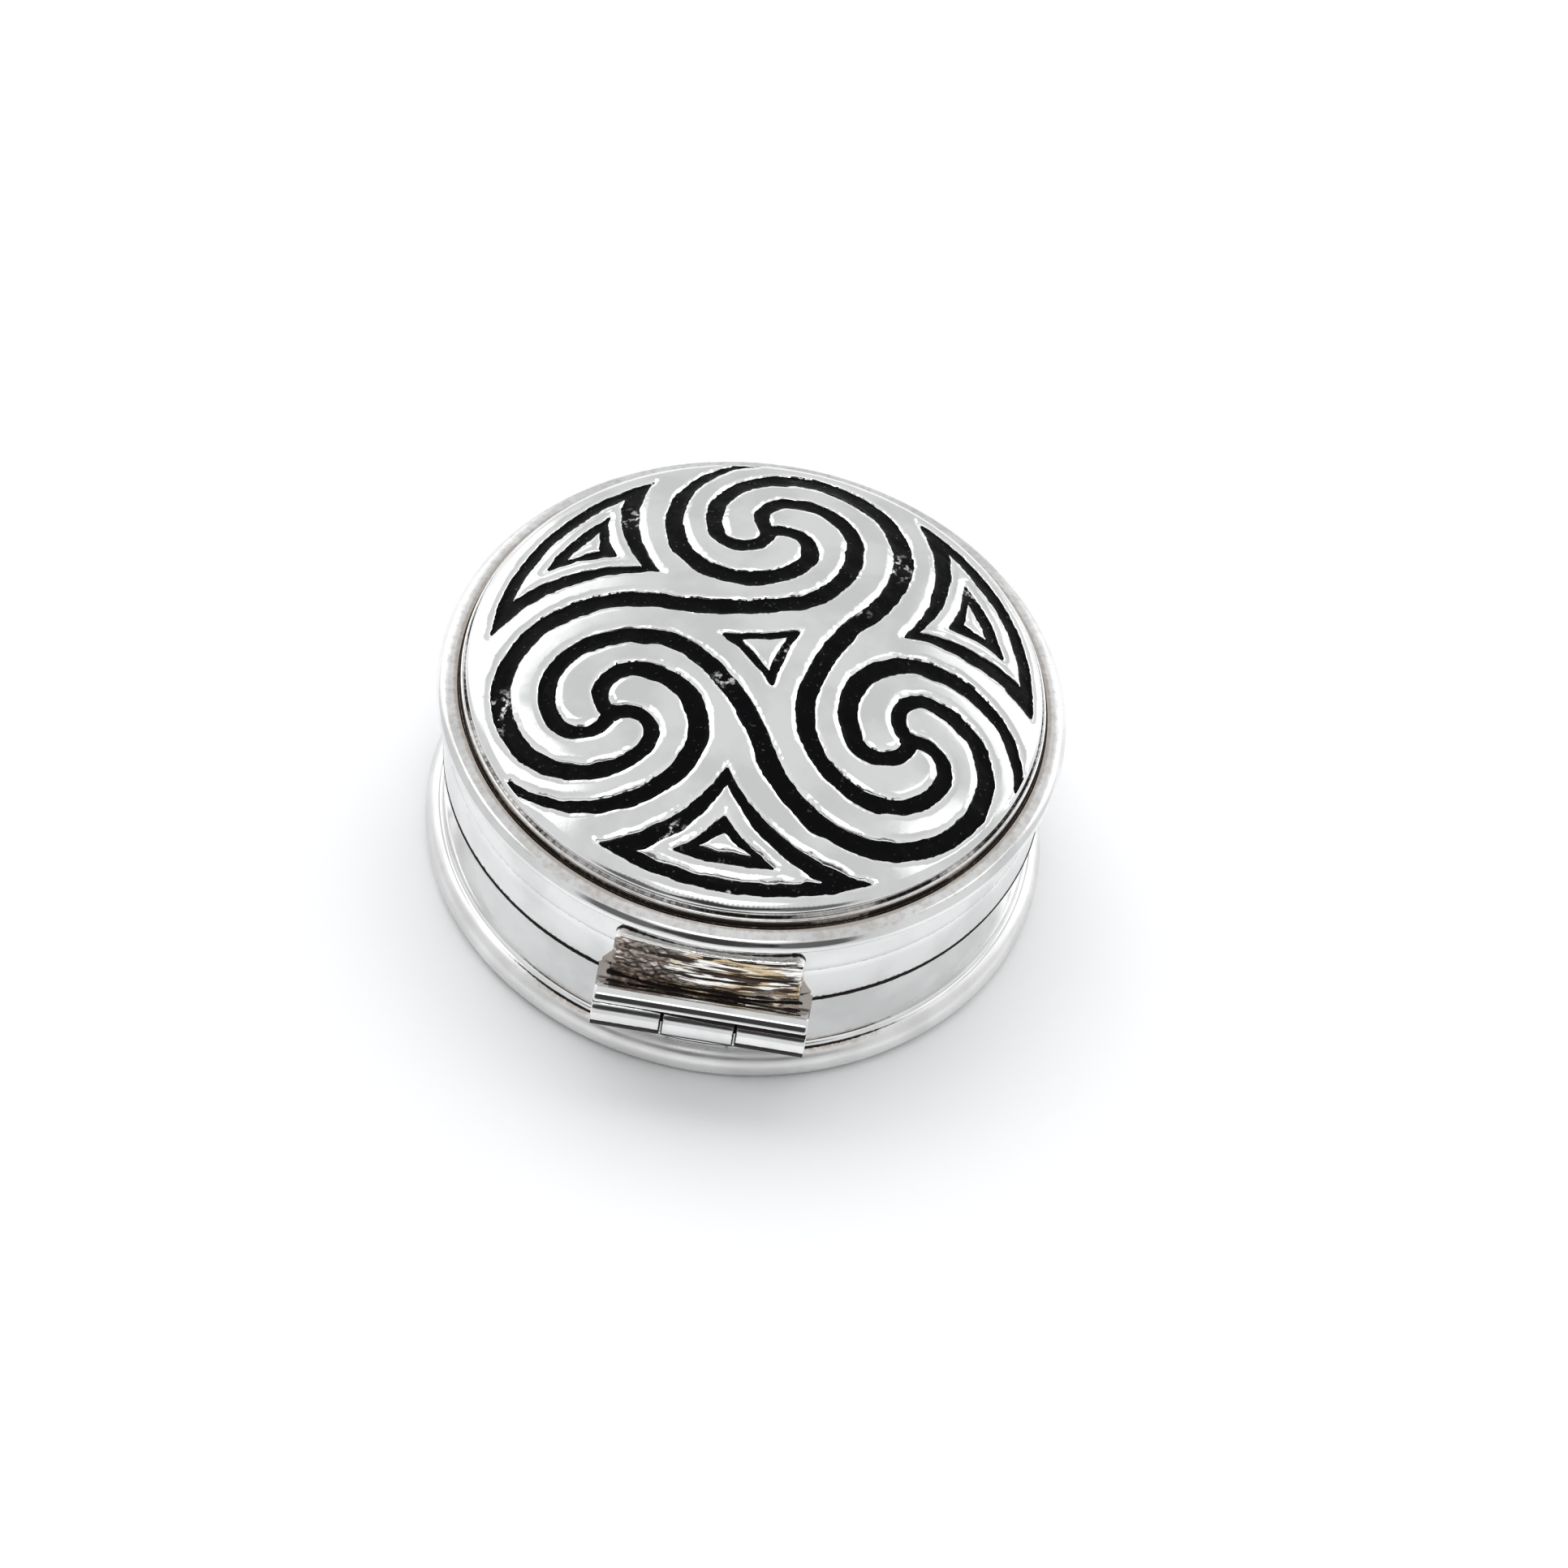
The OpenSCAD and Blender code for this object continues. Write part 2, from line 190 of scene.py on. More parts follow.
def resampled(points, step):
    """Splits the long sides of a closed outline, so that every side is at most one step."""
    out = []
    for i, p in enumerate(points):
        q = points[(i + 1) % len(points)]
        n = max(1, math.ceil(np.linalg.norm(np.subtract(q, p)) / step))
        out += [np.asarray(p) + (np.asarray(q) - p) * k / n for k in range(n)]
    return out


def skin(rings, n, closed):
    """Quads between neighbouring rings of n points; if closed, the last ring joins the first."""
    faces = []
    for i in range(rings if closed else rings - 1):
        a, b = i * n, (i + 1) % rings * n
        faces += [(a + k, a + (k + 1) % n, b + (k + 1) % n, b + k) for k in range(n)]
    return faces


def lathe(name, outline, body, slot, node, look, around=480, wobble=0.0, seed=1, **marks):
    """Turns a closed outline of (r, z) points about the box's axis, and marks it as tarnish does."""
    line = np.array(outline)
    angles = np.arange(around) * 2 * np.pi / around
    r = np.repeat(line[None, :, 0], around, 0)
    z = np.repeat(line[None, :, 1], around, 0)
    if wobble:
        uneven = waves(seed, 9.0)
        r = r + wobble * uneven(angles[:, None] * 15, z * 2.2)
    verts = np.stack([r * np.cos(angles)[:, None], r * np.sin(angles)[:, None], z], -1).reshape(-1, 3)
    faces = [(a, d, c, b) for a, b, c, d in skin(around, len(line), True)]
    obj = piece(name, verts, faces, body, node, look)
    for mark, spots in marks.items():
        tarnish_and_shade(obj, mark, spots)


def turned(start, runs, steps=6):
    """An outline that goes out and down: runs of (length, tilt of the normal at each end, degrees)."""
    at, out = np.array(start, float), []
    for length, tilt_a, tilt_b in runs:
        for k in range(steps):
            tilt = math.radians(tilt_a + (tilt_b - tilt_a) * (k + 0.5) / steps)
            out.append(at.copy())
            at = at + length / steps * np.array([math.sin(tilt), -math.cos(tilt)])
    return out + [at]


def arc_points(centre, radius, start, end, n):
    """Points of an arc, its angles in degrees."""
    a = np.radians(np.linspace(start, end, n))
    return [np.array([centre[0] + radius * math.cos(t), centre[1] + radius * math.sin(t)]) for t in a]


# ---------- the motif ----------

# The spirals' eyes stand on a circle; the whole motif is turned and moved a little on the disc

EYE_R = 8.65
MOTIF_TURN = 185.4
MOTIF_X = -0.25
# Arcs (radius, turn in degrees) from one eye to the next, and from an eye out to the disc's edge
LINK_ARCS = [(1.5, -126), (3.1, -87), (4.8, -84), (13.5, -27), (7.1, 40), (5.5, 101), (4, 94), (1.35, 165)]
EDGE_ARCS = [(1.5, -147), (3.6, -128), (5.7, -92)]
LINK_HEADING, EDGE_HEADING = 133, 24
GROOVE_W, GROOVE_WIDE = 0.72, 0.98


def polar(r, a):
    """The point at a radius and an angle in degrees."""
    return np.array([r * math.cos(math.radians(a)), r * math.sin(math.radians(a))])


def left_of(h):
    """The direction to the left of a heading in degrees."""
    return np.array([-math.sin(math.radians(h)), math.cos(math.radians(h))])


def walk(start, heading, arcs, step=0.08):
    """Points along a run of arcs, each (radius, turn in degrees)."""
    p, h, out = np.array(start, float), heading, []
    for r, turn in arcs:
        side = 1 if turn > 0 else -1
        centre = p + side * r * left_of(h)
        n = max(1, math.ceil(abs(math.radians(turn)) * r / step))
        out += [centre - side * r * left_of(h + turn * k / n) for k in range(n)]
        p, h = centre - side * r * left_of(h + turn), h + turn
    return np.array(out + [p])


def arc_between(p, q, r, bend, n=28):
    """Points of an arc from p towards q, which bends to one side or, with -1, to the other."""
    d = q - p
    half = np.linalg.norm(d) / 2
    c = (p + q) / 2 - bend * math.sqrt(r * r - half * half) * np.array([d[1], -d[0]]) / (2 * half)
    a0 = math.degrees(math.atan2(*(p - c)[::-1]))
    a1 = math.degrees(math.atan2(*(q - c)[::-1]))
    turn = (a1 - a0 + 540) % 360 - 180
    return [c + polar(r, a0 + turn * i / n) for i in range(n)]


def arc_triangle(apex, left, right, left_r, right_r):
    """A triangle of three arcs, its corners in polar places and its base along the disc's edge."""
    a, b, c = polar(*apex), polar(*left), polar(*right)
    base_r = (left[0] + right[0]) / 2
    sides = arc_between(a, b, left_r, -1) + arc_between(b, c, base_r, 1)
    return np.array(sides + arc_between(c, a, right_r, -1))


def placed(points, turn=0.0):
    """Turns points of the motif's own plane into place on the disc."""
    t = math.radians(MOTIF_TURN + turn)
    spin = np.array([[math.cos(t), -math.sin(t)], [math.sin(t), math.cos(t)]])
    return points @ spin.T + [MOTIF_X, 0]


# The square grid that holds distances to the grooves' edges, up to a farthest value

CELL = 0.05
FAR = 3.0
HALF = 14.8
AXIS = np.arange(-HALF, HALF + CELL / 2, CELL)


def window(points, margin):
    """Slices of the grid that cover some points and a margin."""
    low = np.clip(((points.min(0) - margin + HALF) / CELL).astype(int), 0, len(AXIS) - 1)
    high = np.clip(((points.max(0) + margin + HALF) / CELL).astype(int) + 2, 1, len(AXIS))
    return slice(low[1], high[1]), slice(low[0], high[0])


def ribbon_field(field, points, widths):
    """Lowers a field to the distance from a ribbon's edge, negative inside it."""
    for (x, y), w in zip(points, widths):
        rows, cols = window(np.array([[x, y]]), 1.5)
        gy, gx = AXIS[rows][:, None], AXIS[cols][None, :]
        d = np.hypot(gx - x, gy - y) - w / 2
        np.minimum(field[rows, cols], d, out=field[rows, cols])


def polygon_field(points, rows, cols):
    """Signed distance to a polygon, negative inside."""
    gx, gy = np.meshgrid(AXIS[cols], AXIS[rows])
    near = np.full(gx.shape, np.inf)
    inside = np.zeros(gx.shape, bool)
    for p, q in zip(points, np.roll(points, -1, 0)):
        d = q - p
        t = np.clip(((gx - p[0]) * d[0] + (gy - p[1]) * d[1]) / (d @ d), 0, 1)
        near = np.minimum(near, np.hypot(gx - p[0] - t * d[0], gy - p[1] - t * d[1]))
        crosses = (p[1] > gy) != (q[1] > gy)
        with np.errstate(divide="ignore", invalid="ignore"):
            inside ^= crosses & (gx < (q[0] - p[0]) * (gy - p[1]) / (q[1] - p[1]) + p[0])
    return np.where(inside, -near, near)


def outline_field(field, outer, inner):
    """Lowers a field to the distance from a groove between two outlines."""
    rows, cols = window(outer, 1.6)
    d = np.maximum(polygon_field(outer, rows, cols), -polygon_field(inner, rows, cols))
    np.minimum(field[rows, cols], d, out=field[rows, cols])


def empty_field():
    """A field with no groove in it."""
    return np.full((len(AXIS), len(AXIS)), FAR)


def motif_fields():
    """One distance field per pool of enamel, by node name."""
    eye = polar(EYE_R, 90)
    link, edge = walk(eye, LINK_HEADING, LINK_ARCS), walk(eye, EDGE_HEADING, EDGE_ARCS)

    def widths(line, w0, w_mid, w1):
        t = np.linspace(0, 1, len(line))
        return (1 - t) * w0 + t * w1 + (w_mid - (w0 + w1) / 2) * np.sin(np.pi * t)

    corner = (arc_triangle((7.35, -102.5), (13.8, -124.4), (13.8, -64), 7.8, 9.1),
              arc_triangle((8.3, -100.5), (13.2, -116), (13.2, -75), 7.5, 8.8))
    tip = (arc_triangle((9.9, -99), (12.45, -109), (12.45, -84.8), 6.5, 7.5),
           arc_triangle((10.85, -98), (11.85, -103.5), (11.85, -90.5), 9, 9))
    ends = [polar(2.4, 40 + 120 * k) for k in range(3)]
    rim = np.array(sum([arc_between(ends[k], ends[(k + 1) % 3], 14, -1) for k in range(3)], []))
    island = np.array([polar(1.35, 40 + 120 * k) for k in range(3)])
    fields = {"enamel_spirals": empty_field(), "enamel_centre": empty_field()}
    for k in range(3):
        turn = 120 * k
        spirals = fields["enamel_spirals"]
        ribbon_field(spirals, placed(link, turn), widths(link, GROOVE_W, GROOVE_WIDE, GROOVE_W))
        ribbon_field(spirals, placed(edge, turn), widths(edge, GROOVE_W, GROOVE_WIDE, 0.3))
        ribbon_field(spirals, placed(eye[None], turn), [1.0])
        for part, (outer, inner) in (("corner", corner), ("tip", tip)):
            name = f"enamel_{part}_{'abc'[k]}"
            fields[name] = empty_field()
            outline_field(fields[name], placed(outer, turn), placed(inner, turn))
    outline_field(fields["enamel_centre"], placed(rim), placed(island))
    uneven, rough = waves(11, 1.1), waves(12, 0.34)
    gx, gy = np.meshgrid(AXIS, AXIS)
    shake = 0.03 * uneven(gx, gy) + 0.012 * rough(gx, gy)
    keep_in = np.hypot(gx, gy) - TOP_R
    for name in fields:
        fields[name] = np.maximum(fields[name] + shake, keep_in)
    return fields


def sample(field, points):
    """Bilinear values of a field at points."""
    u = (points[:, 0] + HALF) / CELL
    v = (points[:, 1] + HALF) / CELL
    i, j = np.clip(u.astype(int), 0, len(AXIS) - 2), np.clip(v.astype(int), 0, len(AXIS) - 2)
    fu, fv = u - i, v - j
    top = field[j, i] * (1 - fu) + field[j, i + 1] * fu
    bottom = field[j + 1, i] * (1 - fu) + field[j + 1, i + 1] * fu
    return top * (1 - fv) + bottom * fv


def contours(field, level, step):
    """Closed lines where a field has a level, as arrays of points about one step apart."""
    f = field - level
    f = np.where(f == 0, 1e-9, f)
    above = f > 0

    def crossing(a, b):
        t = f[a] / (f[a] - f[b])
        return (AXIS[a[1]] + t * (AXIS[b[1]] - AXIS[a[1]]), AXIS[a[0]] + t * (AXIS[b[0]] - AXIS[a[0]]))

    corner = above[:-1, :-1]
    mixed = (corner != above[:-1, 1:]) | (corner != above[1:, :-1]) | (corner != above[1:, 1:])
    links = {}
    for j, i in zip(*np.nonzero(mixed)):
        a, b, c, d = (j, i), (j, i + 1), (j + 1, i + 1), (j + 1, i)
        sides = [(p, q) for p, q in ((a, b), (b, c), (d, c), (a, d)) if above[p] != above[q]]
        if len(sides) == 4:
            pairs = ((0, 1), (2, 3)) if above[a] else ((3, 0), (1, 2))
        else:
            pairs = ((0, 1),)
        for m, n in pairs:
            links.setdefault(sides[m], []).append(sides[n])
            links.setdefault(sides[n], []).append(sides[m])
    lines, seen = [], set()
    for start in links:
        if start in seen:
            continue
        chain, here, last = [], start, None
        while here not in seen:
            seen.add(here)
            chain.append(crossing(*here))
            following = [s for s in links[here] if s != last and s not in seen]
            last = here
            if not following:
                break
            here = following[0]
        line = np.array(chain)
        closed = np.vstack([line, line[:1]])
        along = np.r_[0, np.cumsum(np.hypot(*np.diff(closed, axis=0).T))]
        if along[-1] < 4 * step:
            continue
        n = max(6, round(along[-1] / step))
        at = np.linspace(0, along[-1], n, endpoint=False)
        lines.append(np.stack([np.interp(at, along, closed[:, 0]), np.interp(at, along, closed[:, 1])], 1))
    return lines


def triangulate(loops, loose):
    """Delaunay mesh of loops, whose sides are kept as edges, and of loose points."""
    points, edges = [], []
    for loop in loops:
        k = len(points)
        points += [tuple(p) for p in loop]
        edges += [(k + i, k + (i + 1) % len(loop)) for i in range(len(loop))]
    points += [tuple(p) for p in loose]
    out = geometry.delaunay_2d_cdt([Vector(p) for p in points], edges, [], 0, 1e-7)
    return np.array([tuple(v) for v in out[0]]), np.array([f for f in out[2] if len(f) == 3])


# A groove: soft shoulders beside it, steep walls, its depth, and how far down the enamel lies

SHOULDER_W, SHOULDER_D = 0.42, 0.13
WALL_W, GROOVE_D = 0.05, 0.5
ENAMEL_D = 0.2
PLANISH_D = 0.005
shoulder_change, planish = waves(22, 2.6), waves(21, 3.2)


def silver_height(whole, points):
    """Height of the worked silver: the dome, its rolled edge, soft shoulders and groove walls."""
    f = sample(whole, points)
    r = np.hypot(*points.T)
    s = np.clip(f / SHOULDER_W, 0, 1)
    down = np.clip(-f / WALL_W, 0, 1)
    shoulder = SHOULDER_D * (1 + 0.3 * np.clip(shoulder_change(*points.T), -1, 1))
    depth = shoulder * (1 - s) ** 2 + (GROOVE_D - SHOULDER_D) * down
    roll = ROLL_OFF * np.clip(r - ROLL_FROM_R, 0, None) ** 2
    return dome(r) - depth - roll + PLANISH_D * planish(*points.T) - PLANISH_D


def silver_normals(whole, points, h=0.04):
    """Normals of that height, so that highlights run clean along the grooves."""
    dx, dy = np.array([h, 0]), np.array([0, h])
    slope_x = (silver_height(whole, points + dx) - silver_height(whole, points - dx)) / (2 * h)
    slope_y = (silver_height(whole, points + dy) - silver_height(whole, points - dy)) / (2 * h)
    normals = np.column_stack([-slope_x, -slope_y, np.ones(len(points))])
    return normals / np.linalg.norm(normals, axis=1)[:, None]


DISC_AROUND = 720
# Lines that the disc's mesh keeps along the grooves: (distance from a groove's edge, spacing of points)
KEPT_LINES = ((-WALL_W, 0.12), (0.0, 0.09))
LOOSE_LINES = ((0.03, 0.1), (0.08, 0.11), (0.15, 0.13), (0.23, 0.16), (0.32, 0.2), (SHOULDER_W, 0.24))


def disc_points(whole, ring):
    """Closed loops and loose points that the top face's mesh is made from."""
    loops = sum([contours(whole, level, step) for level, step in KEPT_LINES], [])
    rows = np.vstack(sum([contours(whole, level, step) for level, step in LOOSE_LINES], []))
    rows = rows[np.hypot(*rows.T) < TOP_R - 0.03]
    loops = [loop for loop in loops if np.hypot(*loop.T).max() < TOP_R - 0.002]
    pitch, row_gap = 0.34, 0.866
    gx, gy = np.meshgrid(np.arange(-15, 15, pitch), np.arange(-15, 15, pitch * row_gap))
    gx = gx + (np.arange(gx.shape[0]) % 2)[:, None] * pitch / 2
    grid = np.stack([gx.ravel(), gy.ravel()], 1)
    grid = grid[np.hypot(*grid.T) < ROLL_FROM_R]
    grid = grid[sample(whole, grid) > SHOULDER_W + 0.1]
    for r in (ROLL_FROM_R, ROLL_FROM_R + 0.09, ROLL_FROM_R + 0.17):
        band = ring[::2] * r
        grid = np.vstack([grid, band[sample(whole, band) > 0.02]])
    return loops, np.vstack([rows, grid])


def disc_side():
    """The disc's outline from its top face's edge out, down the step, and back in underneath."""
    edge_z = float(dome(TOP_R) - ROLL_OFF * (TOP_R - ROLL_FROM_R) ** 2)
    side = turned((TOP_R, edge_z), [(0.19, 46, 40), (0.06, 40, 0)], 3)[1:]
    side += [(STEP_R, STEP_Z + 0.25), (STEP_R, STEP_Z + 0.08), (STEP_R - 0.03, STEP_Z - 0.04)]
    side += [(STEP_R + 0.05, STEP_Z - 0.04), (STEP_R + 0.08, STEP_Z), (DISC_R - 0.07, STEP_Z)]
    side += [(DISC_R - 0.02, STEP_Z - 0.02), (DISC_R, STEP_Z - 0.07)]
    side += [(DISC_R, STEP_Z - 0.07 - 0.38 * t) for t in (0.2, 0.4, 0.6, 0.8, 1)]
    return side + [(r, dome(r, DISC_T)) for r in (14.13, 12, 9.5, 7, 4.5, 2)]


def disc_marks(obj, f):
    """Painted highlights along the grooves' edges, blackening with painted shade in the grooves' walls and in
    the step, and a brown edge.
    """
    x, y, z = places(obj).T
    r = np.hypot(x, y)
    # Painted highlight: whiter metal within 0.22 mm of a groove's edge
    attribute(obj, "painted_edge_highlight", np.clip(1 - f / 0.22, 0, 1) * (f > -0.01))
    uneven = 0.75 + 0.25 * np.clip(waves(23, 6.0)(x, y), -1, 1)
    # Black on the disc's side inside the rim, higher on the hinge side, and in the step's corner: old oxide
    # and painted shade of the gap
    step_dark_top = 0.24 + 0.1 * np.clip(y / DISC_R, 0, 1)
    step_soot_and_shade = np.clip((RIM_TOP_Z + step_dark_top - z) / 0.1, 0, 1) * (r > DISC_R - 0.1) * uneven
    step_soot_and_shade = np.maximum(step_soot_and_shade, 0.7 * uneven * (np.hypot(r - STEP_R, z - STEP_Z) < 0.09))
    # The grooves' walls are black below their edges: old oxide and painted shade
    attribute(obj, "patina", np.maximum(np.clip(-f / WALL_W, 0, 1), step_soot_and_shade))
    attribute(obj, "stain", np.clip((12.1 - z) / 0.3, 0, 1) * 0.8)


def spiral_disc(fields):
    """The worked silver disc: one relief that follows the grooves' edges, its step and its underside."""
    whole = np.minimum.reduce(list(fields.values()))
    around = DISC_AROUND
    angles = np.arange(around) * 2 * np.pi / around
    ring = np.stack([np.cos(angles), np.sin(angles)], 1)
    loops, loose = disc_points(whole, ring)
    verts, faces = triangulate([ring * TOP_R] + loops, loose)
    top = np.column_stack([verts, silver_height(whole, verts)])
    all_verts, faces = [top], [tuple(f) for f in faces]
    before = [int(np.argmin(np.hypot(*(verts - p * TOP_R).T))) for p in ring]
    count = len(top)
    for r, height in disc_side():
        all_verts.append(np.column_stack([ring * r, np.full(around, height)]))
        now = list(range(count, count + around))
        count += around
        for i in range(around):
            j = (i + 1) % around
            faces.append((before[j], before[i], now[i], now[j]))
        before = now
    all_verts.append(np.array([[0, 0, dome(0, DISC_T)]]))
    faces += [(before[(i + 1) % around], before[i], count) for i in range(around)]
    obj = piece("spiral_disc_top", np.vstack(all_verts), faces, "lid", "spiral_disc", SILVER, 40)
    f = np.full(count + 1, FAR)
    f[:len(top)] = sample(whole, verts)
    disc_marks(obj, f)
    normals = np.zeros((len(f), 3))
    own = np.flatnonzero((f[:len(top)] > -0.01) & (np.hypot(*verts.T) < TOP_R - 0.001))
    normals[own] = silver_normals(whole, verts[own])
    obj.data.normals_split_custom_set_from_vertices(normals.tolist())


# Places where the enamel is rubbed or pitted, each (x, y, radius), and the pools' rows of points

ENAMEL_EDGE = -0.012
ENAMEL_ROWS = (-0.1, -0.22, -0.36)
WORN_SPOTS = [(12.1, 5.0, 1.0), (13.2, 1.2, 0.5), (-6.1, -7.9, 0.8), (-1.1, 0.0, 0.5), (1.5, 2.2, 0.5),
              (2.7, 11.3, 0.6), (-0.4, 13.4, 0.5), (7.6, -8.6, 0.6), (-9.9, -7.7, 0.6), (-4.6, -4.0, 0.4)]


def enamel_pool(name, field):
    """Black enamel that fills one groove, a little hollow across and never quite even."""
    loops = contours(field, ENAMEL_EDGE, 0.12)
    rows = sum([contours(field, level, 0.16) for level in ENAMEL_ROWS], [])
    verts, faces = triangulate(loops, np.vstack(rows) if rows else [])
    middle = verts[faces].mean(1)
    faces = faces[sample(field, middle) < ENAMEL_EDGE]
    used = np.unique(faces)
    place = np.full(len(verts), -1)
    place[used] = np.arange(len(used))
    verts, faces = verts[used], place[faces]
    inside = np.clip(-sample(field, verts), 0, 0.5)
    ripple, grain = waves(31, 1.6), waves(32, 0.45)
    lift = 0.05 * np.exp(-inside / 0.08)
    depth = ENAMEL_D - lift + 0.022 * ripple(*verts.T) + 0.008 * grain(*verts.T)
    radius = np.hypot(*verts.T)
    top = np.column_stack([verts, dome(radius) - depth])
    base = np.column_stack([verts, dome(radius, GROOVE_D - 0.02)])
    n = len(verts)
    sides = {}
    for f in faces:
        for a, b in ((f[0], f[1]), (f[1], f[2]), (f[2], f[0])):
            if (b, a) in sides:
                del sides[(b, a)]
            else:
                sides[(a, b)] = True
    quads = [(b, a, a + n, b + n) for a, b in sides]
    flipped = [(f[0] + n, f[2] + n, f[1] + n) for f in faces]
    obj = piece(name + "_fill", np.vstack([top, base]), [tuple(f) for f in faces] + quads + flipped,
                "lid", name, ENAMEL, 60)
    worn = np.zeros(n)
    for x, y, size in WORN_SPOTS:
        worn = np.maximum(worn, np.clip(1.5 - np.hypot(verts[:, 0] - x, verts[:, 1] - y) / size, 0, 1))
    attribute(obj, "worn", np.r_[worn, worn])


# ---------- materials ----------


def material(name):
    """A new material, its node tree and its shader."""
    m = bpy.data.materials.new(name)
    m.use_nodes = True
    return m, m.node_tree, m.node_tree.nodes["Principled BSDF"]


def joined(tree, kind, *inputs):
    """A new shader node, its first inputs joined to sockets or set to fixed values."""
    n = tree.nodes.new("ShaderNode" + kind)
    for socket, value in zip(n.inputs, inputs):
        if isinstance(value, bpy.types.NodeSocket):
            tree.links.new(value, socket)
        else:
            socket.default_value = value
    return n


def grey(value):
    """A colour from one level."""
    return (value, value, value)


def noise(tree, scale, detail=3.0, stretch=(1, 1, 1)):
    """A noise in object space, its scale in features per millimetre."""
    mapping = joined(tree, "Mapping", joined(tree, "TexCoord").outputs["Object"])
    mapping.inputs["Scale"].default_value = [s / MM for s in stretch]
    n = joined(tree, "TexNoise", mapping.outputs["Vector"])
    n.inputs["Scale"].default_value = scale
    n.inputs["Detail"].default_value = detail
    return n.outputs["Fac"]


def ramp(tree, value, stops):
    """A ramp of greys from (position, level) stops."""
    n = joined(tree, "ValToRGB", value)
    n.color_ramp.interpolation = "EASE"
    elements = n.color_ramp.elements
    while len(elements) < len(stops):
        elements.new(0.5)
    for element, (at, level) in zip(elements, stops):
        element.position = at
        element.color = (*grey(level), 1)
    return n.outputs["Color"]


def mix(tree, factor, a, b):
    """A colour between two, each of them a socket or a fixed value."""
    n = joined(tree, "Mix", factor)
    n.data_type = "RGBA"
    for socket, value in ((n.inputs[6], a), (n.inputs[7], b)):
        if isinstance(value, bpy.types.NodeSocket):
            tree.links.new(value, socket)
        else:
            socket.default_value = (*value, 1)
    return n.outputs[2]


def bump(tree, height, distance):
    """A bump whose full height is a distance in millimetres."""
    n = joined(tree, "Bump", 1.0)
    n.inputs["Distance"].default_value = distance * MM
    tree.links.new(height, n.inputs["Height"])
    return n.outputs["Normal"]


def reading(tree, name):
    """The number that a mesh stores under a name, or 0 where it stores none."""
    n = joined(tree, "Attribute")
    n.attribute_name = name
    return n.outputs["Fac"]


def calc(tree, operation, *values):
    """A sum on sockets or fixed values, kept between 0 and 1."""
    n = joined(tree, "Math", *values)
    n.operation = operation
    n.use_clamp = True
    return n.outputs["Value"]


def broken(tree, amount, scale, low=0.35, high=0.65):
    """An amount with a mottled edge: full well inside, gone outside."""
    grain = calc(tree, "MULTIPLY", noise(tree, scale, 5), 0.6)
    mottled = calc(tree, "SUBTRACT", calc(tree, "ADD", amount, grain), 0.3)
    return ramp(tree, mottled, [(low, 0.0), (high, 1.0)])


# Colours: near-white metal paints highlights on marked edges; the brown is a stain; the blacks paint old
# oxide together with painted shade in creases and gaps, and the pin's black paints shade only
EDGE_HIGHLIGHT_METAL = (0.98, 0.98, 0.975)
BROWN_STAIN = (0.50, 0.45, 0.41)
SHADE_AND_SOOT_BLACK = (0.014, 0.010, 0.009)
LEAF_SHADE_AND_SOOT = (0.02, 0.013, 0.010)
PIN_SHADE = (0.02, 0.014, 0.012)


def metal_with_soot_and_shade(m, shade_and_soot_mask, metal, soot_and_shade, rough, soot_and_shade_rough, height, specular):
    """Joins a metal's colour, roughness and (height, distance) of bump, turned black where a mask marks old
    oxide and painted shade.
    """
    tree, shader = m.node_tree, m.node_tree.nodes["Principled BSDF"]
    tree.links.new(mix(tree, shade_and_soot_mask, metal, soot_and_shade), shader.inputs["Base Color"])
    tree.links.new(mix(tree, shade_and_soot_mask, rough, soot_and_shade_rough), shader.inputs["Roughness"])
    tree.links.new(calc(tree, "SUBTRACT", 1.0, shade_and_soot_mask), shader.inputs["Metallic"])
    tree.links.new(bump(tree, *height), shader.inputs["Normal"])
    shader.inputs["Specular IOR Level"].default_value = specular
    return m


def silver(name, colour=(0.80, 0.803, 0.80), rough=(0.05, 0.12)):
    """Polished silver: faint haze, painted highlights on marked edges, brown stains, and black oxide with
    painted shade in creases.
    """
    m, tree, _ = material(name)
    haze = ramp(tree, noise(tree, 0.3, 5), [(0.36, 0.0), (0.62, 1.0)])
    metal = mix(tree, haze, tuple(c * 0.9 for c in colour), tuple(c * 1.04 for c in colour))
    # Painted highlight: whiter metal where a piece marks its edges
    metal = mix(tree, reading(tree, "painted_edge_highlight"), metal, EDGE_HIGHLIGHT_METAL)
    stain = broken(tree, reading(tree, "stain"), 3.2, 0.3, 0.75)
    metal = mix(tree, stain, metal, BROWN_STAIN)
    # Black where a piece marks it: old oxide and painted shade in creases and gaps
    patina = broken(tree, reading(tree, "patina"), 5.0)
    polish = ramp(tree, noise(tree, 0.5, 5), [(0.3, rough[0]), (0.7, rough[1])])
    return metal_with_soot_and_shade(m, patina, metal, SHADE_AND_SOOT_BLACK, polish, grey(0.55), (noise(tree, 2.2, 5), 0.0025), 0.15)


def pin_material(gap_x):
    """The pin's silver, painted black as shade where it shows in the gaps between the knuckles."""
    m, tree, _ = material("pin_silver")
    split = joined(tree, "SeparateXYZ", joined(tree, "TexCoord").outputs["Object"])
    shade_and_soot_mask = calc(tree, "COMPARE", calc(tree, "ABSOLUTE", split.outputs["X"]), gap_x * MM, 0.1 * MM)
    haze = ramp(tree, noise(tree, 1.2, 5), [(0.35, 0.0), (0.65, 1.0)])
    metal = mix(tree, haze, (0.68, 0.67, 0.65), (0.80, 0.80, 0.79))
    return metal_with_soot_and_shade(m, shade_and_soot_mask, metal, PIN_SHADE, grey(0.25), grey(0.7), (noise(tree, 4.0, 5), 0.004), 0.1)


